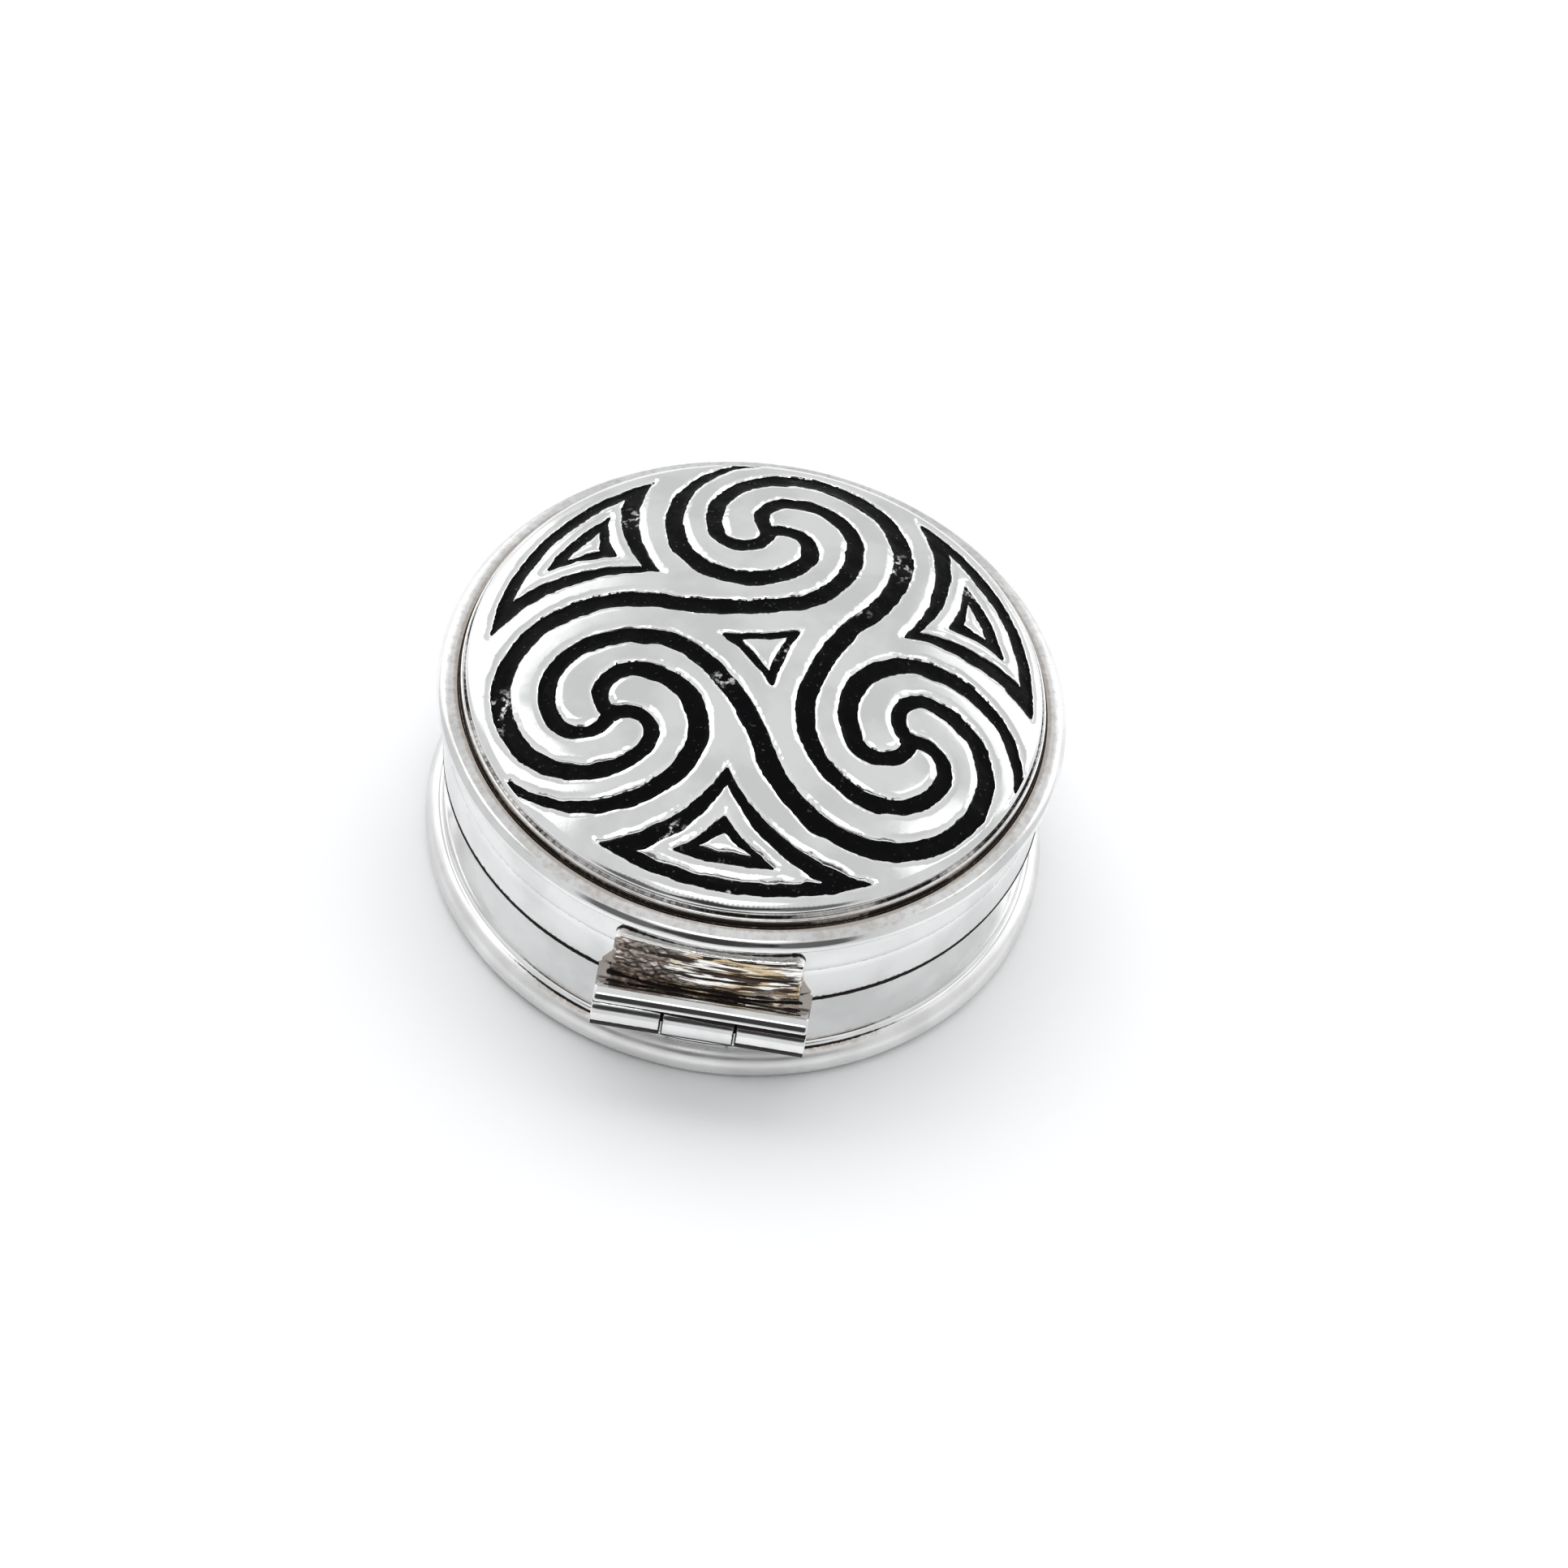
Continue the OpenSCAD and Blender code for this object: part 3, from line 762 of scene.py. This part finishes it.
def leaf_material():
    """Soldered silver: white, gold and black streaks, brown scale at one end, a painted highlight along its
    top edge and painted shade at its foot.
    """
    m, tree, _ = material("worn_leaf")
    gold = ramp(tree, noise(tree, 2.3, 6, (0.14, 1, 1)), [(0.50, 0.0), (0.57, 1.0)])
    metal = mix(tree, gold, (0.95, 0.94, 0.91), (0.63, 0.50, 0.32))
    black = ramp(tree, noise(tree, 3.3, 6, (0.10, 1, 1)), [(0.53, 0.0), (0.59, 1.0)])
    metal = mix(tree, black, metal, (0.07, 0.05, 0.04))
    scale = ramp(tree, noise(tree, 2.6, 6, (0.5, 1, 1)), [(0.38, 0.0), (0.62, 1.0)])
    dull = mix(tree, scale, (0.08, 0.065, 0.052), (0.36, 0.30, 0.27))
    fleck = ramp(tree, noise(tree, 3.6, 6, (0.5, 1, 1)), [(0.57, 0.0), (0.64, 1.0)])
    dull = mix(tree, fleck, dull, (0.78, 0.68, 0.64))
    brown = broken(tree, reading(tree, "dull"), 2.4, 0.3, 0.8)
    metal = mix(tree, brown, metal, dull)
    # Painted highlight: near-white metal along the plate's top edge
    metal = mix(tree, broken(tree, reading(tree, "painted_top_highlight"), 3.0), metal, (0.97, 0.96, 0.94))
    patina = broken(tree, reading(tree, "patina"), 4.0, 0.4, 0.62)
    worn = mix(tree, brown, grey(0.14), grey(0.38))
    grain = noise(tree, 5.0, 6, (0.4, 1, 1))
    return metal_with_soot_and_shade(m, patina, metal, LEAF_SHADE_AND_SOOT, worn, grey(0.5), (grain, 0.03), 0.15)


def enamel_material():
    """Deep black enamel with a few places worn down to grey metal."""
    m, tree, shader = material("black_enamel")
    islands = ramp(tree, noise(tree, 2.2, 6), [(0.52, 0.0), (0.60, 1.0)])
    worn = calc(tree, "MULTIPLY", reading(tree, "worn"), islands)
    speck = ramp(tree, noise(tree, 5.0, 3), [(0.66, 0.0), (0.72, 1.0)])
    black = mix(tree, speck, (0.0015, 0.0015, 0.002), (0.05, 0.05, 0.055))
    grain = ramp(tree, noise(tree, 6.0, 5), [(0.38, 0.0), (0.6, 1.0)])
    bared = mix(tree, grain, (0.03, 0.03, 0.032), grey(0.7))
    tree.links.new(mix(tree, worn, black, bared), shader.inputs["Base Color"])
    tree.links.new(calc(tree, "MULTIPLY", worn, 0.8), shader.inputs["Metallic"])
    tree.links.new(ramp(tree, noise(tree, 2.0, 4), [(0.3, 0.16), (0.7, 0.4)]), shader.inputs["Roughness"])
    tree.links.new(bump(tree, noise(tree, 5.0, 4), 0.012), shader.inputs["Normal"])
    shader.inputs["Specular IOR Level"].default_value = 0.05
    return m


SILVER = silver("polished_silver")
INNER = silver("inner_silver", (0.78, 0.775, 0.76), (0.2, 0.34))
FOOT = silver("satin_silver", (0.78, 0.78, 0.77), (0.26, 0.38))
LEAF = leaf_material()
ENAMEL = enamel_material()

# ---------- base ----------

LIP_R = 0.11


def foot_roll():
    """The rolled foot, with painted shade where the wall meets it, darkest beside the hinge, and where it
    meets the table.
    """
    roll_r, top_z = FOOT_H / 2, FOOT_H - 0.03
    roll_at = (FOOT_R - roll_r, roll_r)
    line = [np.array([BASE_BORE_R, 0.0])] + arc_points(roll_at, roll_r, -90, 78, 34)
    line += [np.array([WALL_FOOT_R - 0.1, top_z]), np.array([BASE_BORE_R, top_z])]
    lathe("foot_roll", line, "base", "silver", "foot_ring", FOOT, wobble=0.01, seed=3,
          patina=[(WALL_FOOT_R + 0.22, FOOT_H - 0.04, 0.07, 0.2, 0.9), (FOOT_R - 0.5, 0.02, 0.25, 0.6)],
          stain=[(WALL_FOOT_R + 0.25, FOOT_H - 0.04, 0.3, 0.2, 0.6)])


def base_wall():
    """A wall hollowed a little, with a fillet at its foot and a softened lip at the seam."""
    foot_z, fillet, rows = FOOT_H - 0.02, 0.24, 15
    fillet_at = (WALL_FOOT_R + fillet, foot_z + 0.03 + fillet)
    line = [(BASE_BORE_R, foot_z), (WALL_FOOT_R + fillet, foot_z)]
    line += [tuple(p) for p in arc_points(fillet_at, fillet, 270, 184, 12)]
    for i in range(2, rows):
        t = i / rows
        hollow = 0.1 * math.sin(math.pi * t)
        line.append((WALL_FOOT_R + (WALL_R - WALL_FOOT_R) * t - hollow, FOOT_H + (SEAM_Z - FOOT_H) * t))
    line += arc_points((WALL_R - LIP_R, SEAM_Z - LIP_R), LIP_R, 0, 90, 7)
    line += [(BASE_BORE_R, SEAM_Z)]
    # Black along the seam's lip: painted shadow of the gap between lid and base. Black in the fillet at the
    # foot, full beside the hinge: painted shade
    lathe("base_wall", resampled(line, 0.3), "base", "silver", "base_band", SILVER, wobble=0.012, seed=4,
          patina=[(WALL_R - 0.05, SEAM_Z, 0.12, 1.0), (WALL_FOOT_R + fillet, foot_z, 0.07, 0.22, 1.0)],
          stain=[(WALL_R, SEAM_Z, 0.2, 0.3)])


def bezel_ring():
    """The collar inside the base, with its upper edges rounded."""
    line = [(BEZEL_BORE_R, BEZEL_FOOT_Z), (BASE_BORE_R, BEZEL_FOOT_Z)]
    line += [(BASE_BORE_R, BEZEL_TOP_Z, 0.25), (BEZEL_BORE_R, BEZEL_TOP_Z, 0.12)]
    lathe("bezel_ring", resampled(rounded(line, 0.08), 0.4), "base", "inner_silver", "base_bezel", INNER,
          wobble=0.006, seed=5, stain=[(BASE_BORE_R, SEAM_Z, 0.3, 0.6)])


def floor_plate():
    """The floor, a little dished, with its turned rings left on the upper face."""
    dish, ring_w, ring_d, eye_r = 0.06, 0.25, 0.008, 0.01
    top = [(0.0, FLOOR_TOP - dish)]
    for r in np.arange(0.5, BASE_BORE_R - 0.5, ring_w):
        fall = dish * (1 - (r / BASE_BORE_R) ** 2)
        top.append((r, FLOOR_TOP - fall - ring_d * (round(r / ring_w) % 2)))
    line = top + [(BASE_BORE_R - 0.3, FLOOR_TOP), (BASE_BORE_R, FLOOR_TOP)]
    line += [(BASE_BORE_R, 0.0), (9.0, 0.0), (0.0, 0.0)]
    line = [(max(r, eye_r), z) for r, z in line[::-1]]
    # Black in the floor's corner at the bezel: old oxide and painted shade
    lathe("floor_plate", line, "base", "inner_silver", "base_floor", INNER, around=240,
          stain=[(BASE_BORE_R, FLOOR_TOP, 0.6, 0.8)], patina=[(BASE_BORE_R, FLOOR_TOP, 0.12, 0.9)])


foot_roll()
base_wall()
bezel_ring()
floor_plate()

# ---------- lid ----------


def lid_wall():
    """Straight above the seam, then leaning in above a fine scribed line."""
    top_r = WALL_R - LEAN
    line = [(LID_BORE_R, LID_FOOT_Z)]
    line += arc_points((WALL_R - LIP_R, LID_FOOT_Z + LIP_R), LIP_R, -90, 0, 7)
    line += [(WALL_R, z) for z in np.arange(LID_FOOT_Z + 0.4, BREAK_Z - 0.2, 0.3)]
    line += [(WALL_R, BREAK_Z - 0.05), (WALL_R - 0.025, BREAK_Z), (WALL_R - 0.008, BREAK_Z + 0.05)]
    for z in np.arange(BREAK_Z + 0.3, RIM_Z, 0.3):
        line.append((WALL_R - LEAN * (z - BREAK_Z) / (RIM_Z - BREAK_Z), z))
    line += [(top_r, RIM_Z), (LID_BORE_R, RIM_Z)]
    # Black along the seam's lip: painted shadow of the seam gap; a fainter dark line in the scribed line;
    # black under the rim: painted shade of its overhang
    lathe("lid_wall", resampled(line, 0.4), "lid", "silver", "lid_band", SILVER, wobble=0.012, seed=6,
          patina=[(WALL_R - 0.05, LID_FOOT_Z, 0.12, 1.0), (WALL_R - 0.02, BREAK_Z, 0.035, 0.5),
                  (top_r, RIM_Z, 0.12, 1.0)],
          stain=[(WALL_R, LID_FOOT_Z, 0.2, 0.3), (top_r, RIM_Z, 0.4, 0.5)])


def rim_moulding():
    """A moulding that rolls out and down from the disc's foot to a rounded edge."""
    inner_r = DISC_R + 0.17
    runs = [(0.3, 88, 80), (0.33, 80, 74), (0.12, 66, 54), (0.3, 48, 39.5), (0.2, 37, 0)]
    slope = turned((inner_r, RIM_TOP_Z), runs)
    line = [(RIM_BORE_R, RIM_TOP_Z), (DISC_R + 0.02, RIM_TOP_Z), (DISC_R + 0.06, RIM_TOP_Z - 0.05)]
    line += [(inner_r - 0.05, RIM_TOP_Z - 0.02)] + [tuple(p) for p in slope]
    line += [(RIM_R, RIM_Z + 0.09), (RIM_R - 0.03, RIM_Z + 0.02), (RIM_R - 0.1, RIM_Z), (RIM_BORE_R, RIM_Z)]
    line = resampled(line[::-1], 0.25)
    # Black where the rim meets the disc: old oxide and painted shade in the crease; black along the rim's
    # lower edge: painted shade
    lathe("rim_moulding", line, "lid", "silver", "lid_rim", SILVER, wobble=0.01, seed=7,
          patina=[(DISC_R + 0.03, RIM_TOP_Z, 0.06, 1.0), (RIM_R - 0.06, RIM_Z, 0.05, 1.0)],
          stain=[(DISC_R + 0.1, RIM_TOP_Z, 0.32, 0.7, 1.0), (RIM_R - 0.55, RIM_TOP_Z - 0.15, 0.4, 0.4, 0.45)])


def liner_sheet():
    """The domed sheet inside the lid."""
    low_r, high_r = DOME_R - DISC_T - LINER_T, DOME_R - DISC_T
    radii = np.linspace(0.01, RIM_BORE_R, 40)
    under = [(r, DOME_Z + math.sqrt(low_r ** 2 - r * r)) for r in radii]
    over = [(r, DOME_Z + math.sqrt(high_r ** 2 - r * r)) for r in radii[::-1]]
    lathe("liner_sheet", under + over, "lid", "inner_silver", "lid_liner", INNER, around=240,
          stain=[(RIM_BORE_R, under[-1][1], 0.8, 0.7)])


lid_wall()
rim_moulding()
liner_sheet()
fields = motif_fields()
spiral_disc(fields)
for pool, pool_field in fields.items():
    enamel_pool(pool, pool_field)

# ---------- hinge ----------


HINGE_CREASE = 38


def swept(name, xs, outline_at, node):
    """A piece of the lid: a closed outline in the Y-Z plane swept along X, with flat ends."""
    rings = [np.array(outline_at(x)) for x in xs]
    n = len(rings[0])
    verts = np.vstack([np.column_stack([np.full(n, x), ring]) for x, ring in zip(xs, rings)])
    last = (len(xs) - 1) * n
    faces = [tuple(range(n))[::-1]] + skin(len(xs), n, False) + [tuple(range(last, last + n))]
    return piece(name, verts, faces, "lid", node, SILVER, HINGE_CREASE)


def end_rounding(half, radius, step):
    """Stations along X from end to end, close together where the ends are rounded."""
    turn = np.linspace(0, np.pi / 2, 7)
    near = half - radius + radius * np.sin(turn)
    middle = np.linspace(-half + radius, half - radius, max(2, round(2 * (half - radius) / step)))
    return np.r_[-near[::-1], middle[1:-1], near]


def drawn_in(x, half, radius):
    """How far an outline shrinks at a station, so that the end is rounded."""
    over = np.clip((abs(x) - half + radius) / radius, 0, 1)
    return radius * (1 - math.sqrt(1 - over * over))


def leaf_face(x):
    """Where the leaf's outer face stands, before its streaks."""
    return LEAF_OUT_Y - LEAF_BEND_R + np.sqrt(LEAF_BEND_R ** 2 - np.square(x))


def leaf_plate():
    """The soldered plate: streaked along its length, with rounded upper corners."""
    corner, low_z, wide, tall = 0.5, LEAF_FOOT_Z, 260, 90
    xs = np.linspace(-LEAF_HALF, LEAF_HALF, wide)
    past = np.clip(np.abs(xs) - (LEAF_HALF - corner), 0, corner)
    high_z = LEAF_TOP_Z - corner + np.sqrt(corner ** 2 - past ** 2)
    x, t = np.meshgrid(xs, np.linspace(0, 1, tall))
    z = low_z + (high_z - low_z)[None, :] * t
    long_streak, fine_streak, grain = waves(42, 0.55), waves(43, 0.22), waves(44, 0.4)
    fade = np.clip((x - 1.1 + 0.4 * waves(45, 1.5)(x * 0, z)) / 1.2, 0, 1)
    streak = long_streak(0.07 * x, z) + 0.45 * fine_streak(0.12 * x, z)
    relief = 0.05 * streak * (1 - 0.7 * fade) + 0.025 * grain(x, z) * fade
    inset = np.minimum.reduce([high_z[None, :] - z, LEAF_HALF - np.abs(x)])
    roll_r, proud = 0.16, 0.06
    roll = roll_r * (1 - np.sqrt(1 - np.clip(1 - inset / roll_r, 0, 1) ** 2))
    keep = np.clip(inset / 0.1, 0, 1) * np.clip((z - low_z) / 0.1, 0, 1)
    front = leaf_face(x) - proud - roll + np.minimum(relief, proud) * keep
    back = np.sqrt((WALL_R - LEAN) ** 2 - x ** 2)
    verts = np.vstack([np.column_stack([x.ravel(), y.ravel(), z.ravel()]) for y in (front, back)])
    half = wide * tall
    faces = []
    for j in range(tall - 1):
        for i in range(wide - 1):
            a, d = j * wide + i, (j + 1) * wide + i
            b, c = a + 1, d + 1
            faces += [(b, a, d, c), (a + half, b + half, c + half, d + half)]
    index = np.arange(half).reshape(tall, wide)
    edge = np.r_[index[0], index[1:, -1], index[-1, -2::-1], index[-2:0:-1, 0]].tolist()
    faces += [(a, b, b + half, a + half) for a, b in zip(edge, edge[1:] + edge[:1])]
    obj = piece("leaf_plate", verts, faces, "lid", "hinge_leaf", LEAF, 60)
    # Black along the low streaks, and black at the plate's foot: painted shade where it meets the bar
    patina = np.clip(-streak * 1.5 - 0.5, 0, 1) * (1 - 0.4 * fade) * np.clip(inset / 0.3, 0, 1)
    patina = np.maximum(patina, np.clip(1.3 - (z - low_z) / 0.12, 0, 1))
    # Painted highlight along the top edge
    painted_top_highlight = np.clip(1.4 - (high_z[None, :] - z) / 0.14, 0, 1)
    # The back face is marked in full and renders black: painted shade in the gap behind the plate
    for mark, front_side in (("patina", patina), ("dull", fade), ("painted_top_highlight", painted_top_highlight)):
        attribute(obj, mark, np.r_[front_side.ravel(), np.ones(half)])


def hinge_strip():
    """The bar: a rounded edge, a top that rises to a crest, and a groove behind it; painted shade in the
    groove and round the knuckles, and a painted dark reflection line behind the crest.
    """
    soft, end_r, back_up = 0.13, 0.14, 0.74
    over_r = KNUCKLE_R + BAR_PLAY
    centre = np.array([AXIS_Y, AXIS_Z])
    nose = centre + BAR_NOSE
    shoulder = nose + polar(BAR_NOSE_R, 90 - BAR_SLOPE)
    crest = shoulder + polar(BAR_TOP_W, 180 - BAR_SLOPE)
    foot = np.array([LEAF_OUT_Y, LEAF_FOOT_Z])
    behind = foot - crest
    behind = behind / np.linalg.norm(behind)
    before_crest, after_crest = crest - polar(soft, 180 - BAR_SLOPE), crest + soft * behind
    rounding = [(1 - t) ** 2 * before_crest + 2 * t * (1 - t) * crest + t * t * after_crest
                for t in np.linspace(0, 1, 9)]
    groove = [after_crest + (foot - after_crest) * t for t in np.linspace(0, 1, 16)[1:]]
    edge = turned(shoulder, [(0.11, 70, 50), (0.24, 48, 40), (0.17, 38, 8)])[::-1]

    def outline(x):
        back_y = math.sqrt((WALL_R + BAR_PLAY) ** 2 - x * x)
        throat = [centre + polar(over_r, a) for a in np.linspace(138, 58, 26)]
        flat = [np.array([y, LEAF_FOOT_Z]) for y in np.linspace(LEAF_OUT_Y, back_y, 5)[1:]]
        line = [np.array([back_y, AXIS_Z + back_up])] + throat + edge + rounding + groove + flat
        shrink = drawn_in(x, HINGE_HALF, end_r)
        middle = nose + [-0.1, 0.27]
        return [p + (middle - p) * min(1, shrink / max(end_r, np.linalg.norm(middle - p))) for p in line]

    obj = swept("hinge_strip", end_rounding(HINGE_HALF, end_r, 0.12), outline, "hinge_bar")
    points = places(obj)
    x, y, z = points.T
    away = crest[0] - 0.03 - y
    to_leaf = y - leaf_face(np.clip(x, -LEAF_HALF, LEAF_HALF))
    upper = z > LEAF_FOOT_Z - 0.03
    # A painted dark reflection line behind the crest, painted shade where the bar meets the leaf, and mottled
    # painted shade on the slope behind
    lines = np.maximum(2.5 - np.abs(away - 0.15) / 0.04, 1.6 - np.abs(to_leaf) / 0.08)
    streaks = 0.3 + 0.5 * waves(46, 0.3)(0.12 * x, y)
    soot_and_shade = np.clip(np.maximum(lines, streaks), 0, 1) * upper * (away > 0.04)
    soot_and_shade *= np.clip((LEAF_HALF + 0.3 - np.abs(x)) / 0.2, 0.25, 1)
    # Painted shade in the throat round the knuckles
    under = np.clip(1.4 - np.abs(np.hypot(y - AXIS_Y, z - AXIS_Z) - over_r) / 0.03, 0, 1)
    attribute(obj, "patina", np.maximum(soot_and_shade, under))
    attribute(obj, "stain", np.clip(away / 0.1, 0, 1) * upper * 0.8)


def knuckle(name, x0, x1, bore_r, body, node, shade_from):
    """One bored knuckle with rounded edges; painted shade on its ends in the gaps, in its bore's mouth and
    below an angle, and a painted dark reflection in a band under the bar.
    """
    soft, half = 0.07, (x1 - x0) / 2
    stations = end_rounding(half, soft, 0.25)
    outer = [(x, KNUCKLE_R - drawn_in(x, half, soft)) for x in stations]
    line = outer + [(half, bore_r), (-half, bore_r)]
    around = 96
    angles = np.arange(around) * 2 * np.pi / around
    verts = [(x0 + half + x, AXIS_Y + r * math.cos(a), AXIS_Z + r * math.sin(a))
             for a in angles for x, r in line]
    faces = skin(around, len(line), True)
    obj = piece(name, verts, faces, body, node, SILVER, HINGE_CREASE)
    x, y, z = places(obj).T
    r = np.hypot(y - AXIS_Y, z - AXIS_Z)
    gap = np.minimum(np.abs(x - x0), np.abs(x - x1))
    past_mid = np.abs(x) - MID_HALF
    inner_end = np.minimum(np.abs(past_mid), np.abs(past_mid - KNUCKLE_GAP))
    # Painted shade on the ends that face the gaps between knuckles, and in the bore's mouth
    soot_and_shade = np.clip(1.8 - inner_end / 0.05, 0, 1)
    soot_and_shade = np.maximum(soot_and_shade, np.clip(1.4 - (r - bore_r) / 0.05, 0, 1) * (gap < 0.01))
    around_axis = np.degrees(np.arctan2(z - AXIS_Z, y - AXIS_Y))
    outside = (r > KNUCKLE_R - 0.1) * (gap > 0.03)
    thick = np.clip((3.6 - x) / 4, 0.15, 1)
    # A painted dark reflection in a band under the bar, and painted shade below the given angle
    top = np.clip((around_axis - 56 + 10 * thick) / 4, 0, 1) * np.clip((84 - around_axis) / 12, 0, 1)
    below = np.clip((shade_from - around_axis) / 5, 0, 1) * np.clip((around_axis + 48) / 6, 0, 1)
    attribute(obj, "patina", np.maximum(soot_and_shade, outside * np.maximum(top, below)))


def knuckle_web():
    """The rib that joins the middle knuckle to the bar, black all over: painted shade in the gap between
    them.
    """
    half, centre = MID_HALF - 0.02, np.array([AXIS_Y, AXIS_Z])

    def outline(_):
        low, high = ([centre + polar(r, a) for a in np.linspace(84, 125, 14)]
                     for r in (KNUCKLE_R - 0.04, KNUCKLE_R + BAR_PLAY))
        return (low + high[::-1])[::-1]

    obj = swept("knuckle_web", np.linspace(-half, half, 16), outline, "hinge_knuckle_mid")
    attribute(obj, "patina", np.ones(len(obj.data.vertices)))


leaf_plate()
hinge_strip()
knuckle("knuckle_left", KNUCKLE_LOW[0], KNUCKLE_HIGH[0], PIN_R, "base", "hinge_knuckle_left", 2)
knuckle("knuckle_right", -KNUCKLE_HIGH[0], -KNUCKLE_LOW[0], PIN_R, "base", "hinge_knuckle_right", 2)
knuckle("knuckle_middle", -MID_HALF, MID_HALF, PIN_R + PIN_PLAY, "lid", "hinge_knuckle_mid", -14)
knuckle_web()
for name, look in (("hinge_pin", pin_material(MID_HALF + KNUCKLE_GAP / 2)), ("hinge_bearer", SILVER)):
    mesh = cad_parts[name].data
    mesh.materials.clear()
    mesh.materials.append(look)

# ---------- floor, light and camera ----------

FLOOR_HALF = 0.6
floor_mesh = bpy.data.meshes.new("floor")
corners = [(a * FLOOR_HALF, b * FLOOR_HALF, 0) for a, b in ((-1, -1), (1, -1), (1, 1), (-1, 1))]
floor_mesh.from_pydata(corners, [], [(0, 1, 2, 3)])
floor = bpy.data.objects.new("floor", floor_mesh)
bpy.context.scene.collection.objects.link(floor)
floor_look, tree, shader = material("pale_floor")
paper = mix(tree, noise(tree, 0.02, 3), (0.92, 0.925, 0.935), (0.95, 0.955, 0.96))
tree.links.new(paper, shader.inputs["Base Color"])
shader.inputs["Roughness"].default_value = 0.7
floor_mesh.materials.append(floor_look)


def toward(azimuth, elevation):
    """The direction at an azimuth and an elevation in degrees."""
    az, el = math.radians(azimuth), math.radians(elevation)
    return Vector((math.cos(el) * math.cos(az), math.cos(el) * math.sin(az), math.sin(el)))


def studio(base, least_light, lobes):
    """A soft tent: a base light and lobes of (azimuth, elevation, full within, gone by, added light)."""
    world = bpy.data.worlds.new("studio")
    bpy.context.scene.world = world
    world.use_nodes = True
    tree = world.node_tree
    view = joined(tree, "TexCoord").outputs["Generated"]
    total = base
    for azimuth, elevation, full, gone, added in lobes:
        dot = joined(tree, "VectorMath", view, toward(azimuth, elevation))
        dot.operation = "DOT_PRODUCT"
        fade = joined(tree, "MapRange", dot.outputs["Value"], math.cos(math.radians(gone)),
                    math.cos(math.radians(full)), 0, added)
        fade.interpolation_type = "SMOOTHSTEP"
        add = joined(tree, "Math", total, fade.outputs["Result"])
        total = add.outputs["Value"]
    least = joined(tree, "Math", total, least_light)
    least.operation = "MAXIMUM"
    tree.links.new(least.outputs["Value"], tree.nodes["Background"].inputs["Strength"])
    tree.nodes["Background"].inputs["Color"].default_value = (0.99, 0.995, 1.0, 1)


# Dark cards before the hinge side, then bright windows above it, at the far corners and high at the ends

studio(0.8, 0.02, [
    (91, 36, 9, 18, -0.75), (60, 33, 8, 16, -0.65), (122, 33, 8, 16, -0.65),
    (91, 70, 7, 16, 1.6),
    (225, 22, 14, 28, 0.9), (-45, 22, 14, 28, 0.9),
    (-22, 52, 6, 15, 1.4), (205, 55, 4, 12, 0.7),
])


def key_light():
    """A square soft light from high behind the box; it makes the shadow and no reflection."""
    data = bpy.data.lights.new("key", "AREA")
    data.size = 0.4
    data.energy = 0.75
    obj = bpy.data.objects.new("key", data)
    place = toward(-80, 68) * 0.5
    obj.matrix_world = Matrix.Translation(place) @ place.to_track_quat("Z", "Y").to_matrix().to_4x4()
    obj.visible_glossy = False
    bpy.context.scene.collection.objects.link(obj)


key_light()

# The camera: degrees, metres, and the focal length and the origin's place off centre in picture widths

ELEVATION, AZIMUTH, ROLL, DISTANCE = 51.26, 90.7, 8.775, 0.352
FOCAL = 4.33385
OFFSET = (-0.03323, 0.03199)
SENSOR = 36


def camera_matrix():
    """The camera looks at the origin, rolls, then turns so that the origin moves off centre."""
    place = toward(AZIMUTH, ELEVATION) * DISTANCE
    forward = -place.normalized()
    right = forward.cross(Vector((0, 0, 1))).normalized()
    down = forward.cross(right)
    rows = Matrix((right, down, forward))
    yaw = math.atan2(OFFSET[0], FOCAL)
    pitch = math.atan2(OFFSET[1], math.hypot(FOCAL, OFFSET[0]))
    roll = math.radians(ROLL)
    turns = Matrix.Rotation(yaw, 3, "Y") @ Matrix.Rotation(-pitch, 3, "X") @ Matrix.Rotation(roll, 3, "Z")
    right, down, forward = turns @ rows
    axes = Matrix((right, -down, -forward)).transposed()
    return Matrix.Translation(place) @ axes.to_4x4()


camera_data = bpy.data.cameras.new("camera")
camera_data.sensor_width = SENSOR
camera_data.lens = SENSOR * FOCAL
camera_data.clip_start = 0.01
camera_data.clip_end = 5
camera = bpy.data.objects.new("camera", camera_data)
camera.matrix_world = camera_matrix()
bpy.context.scene.collection.objects.link(camera)
bpy.context.scene.camera = camera
bpy.context.scene.view_settings.view_transform = "Standard"
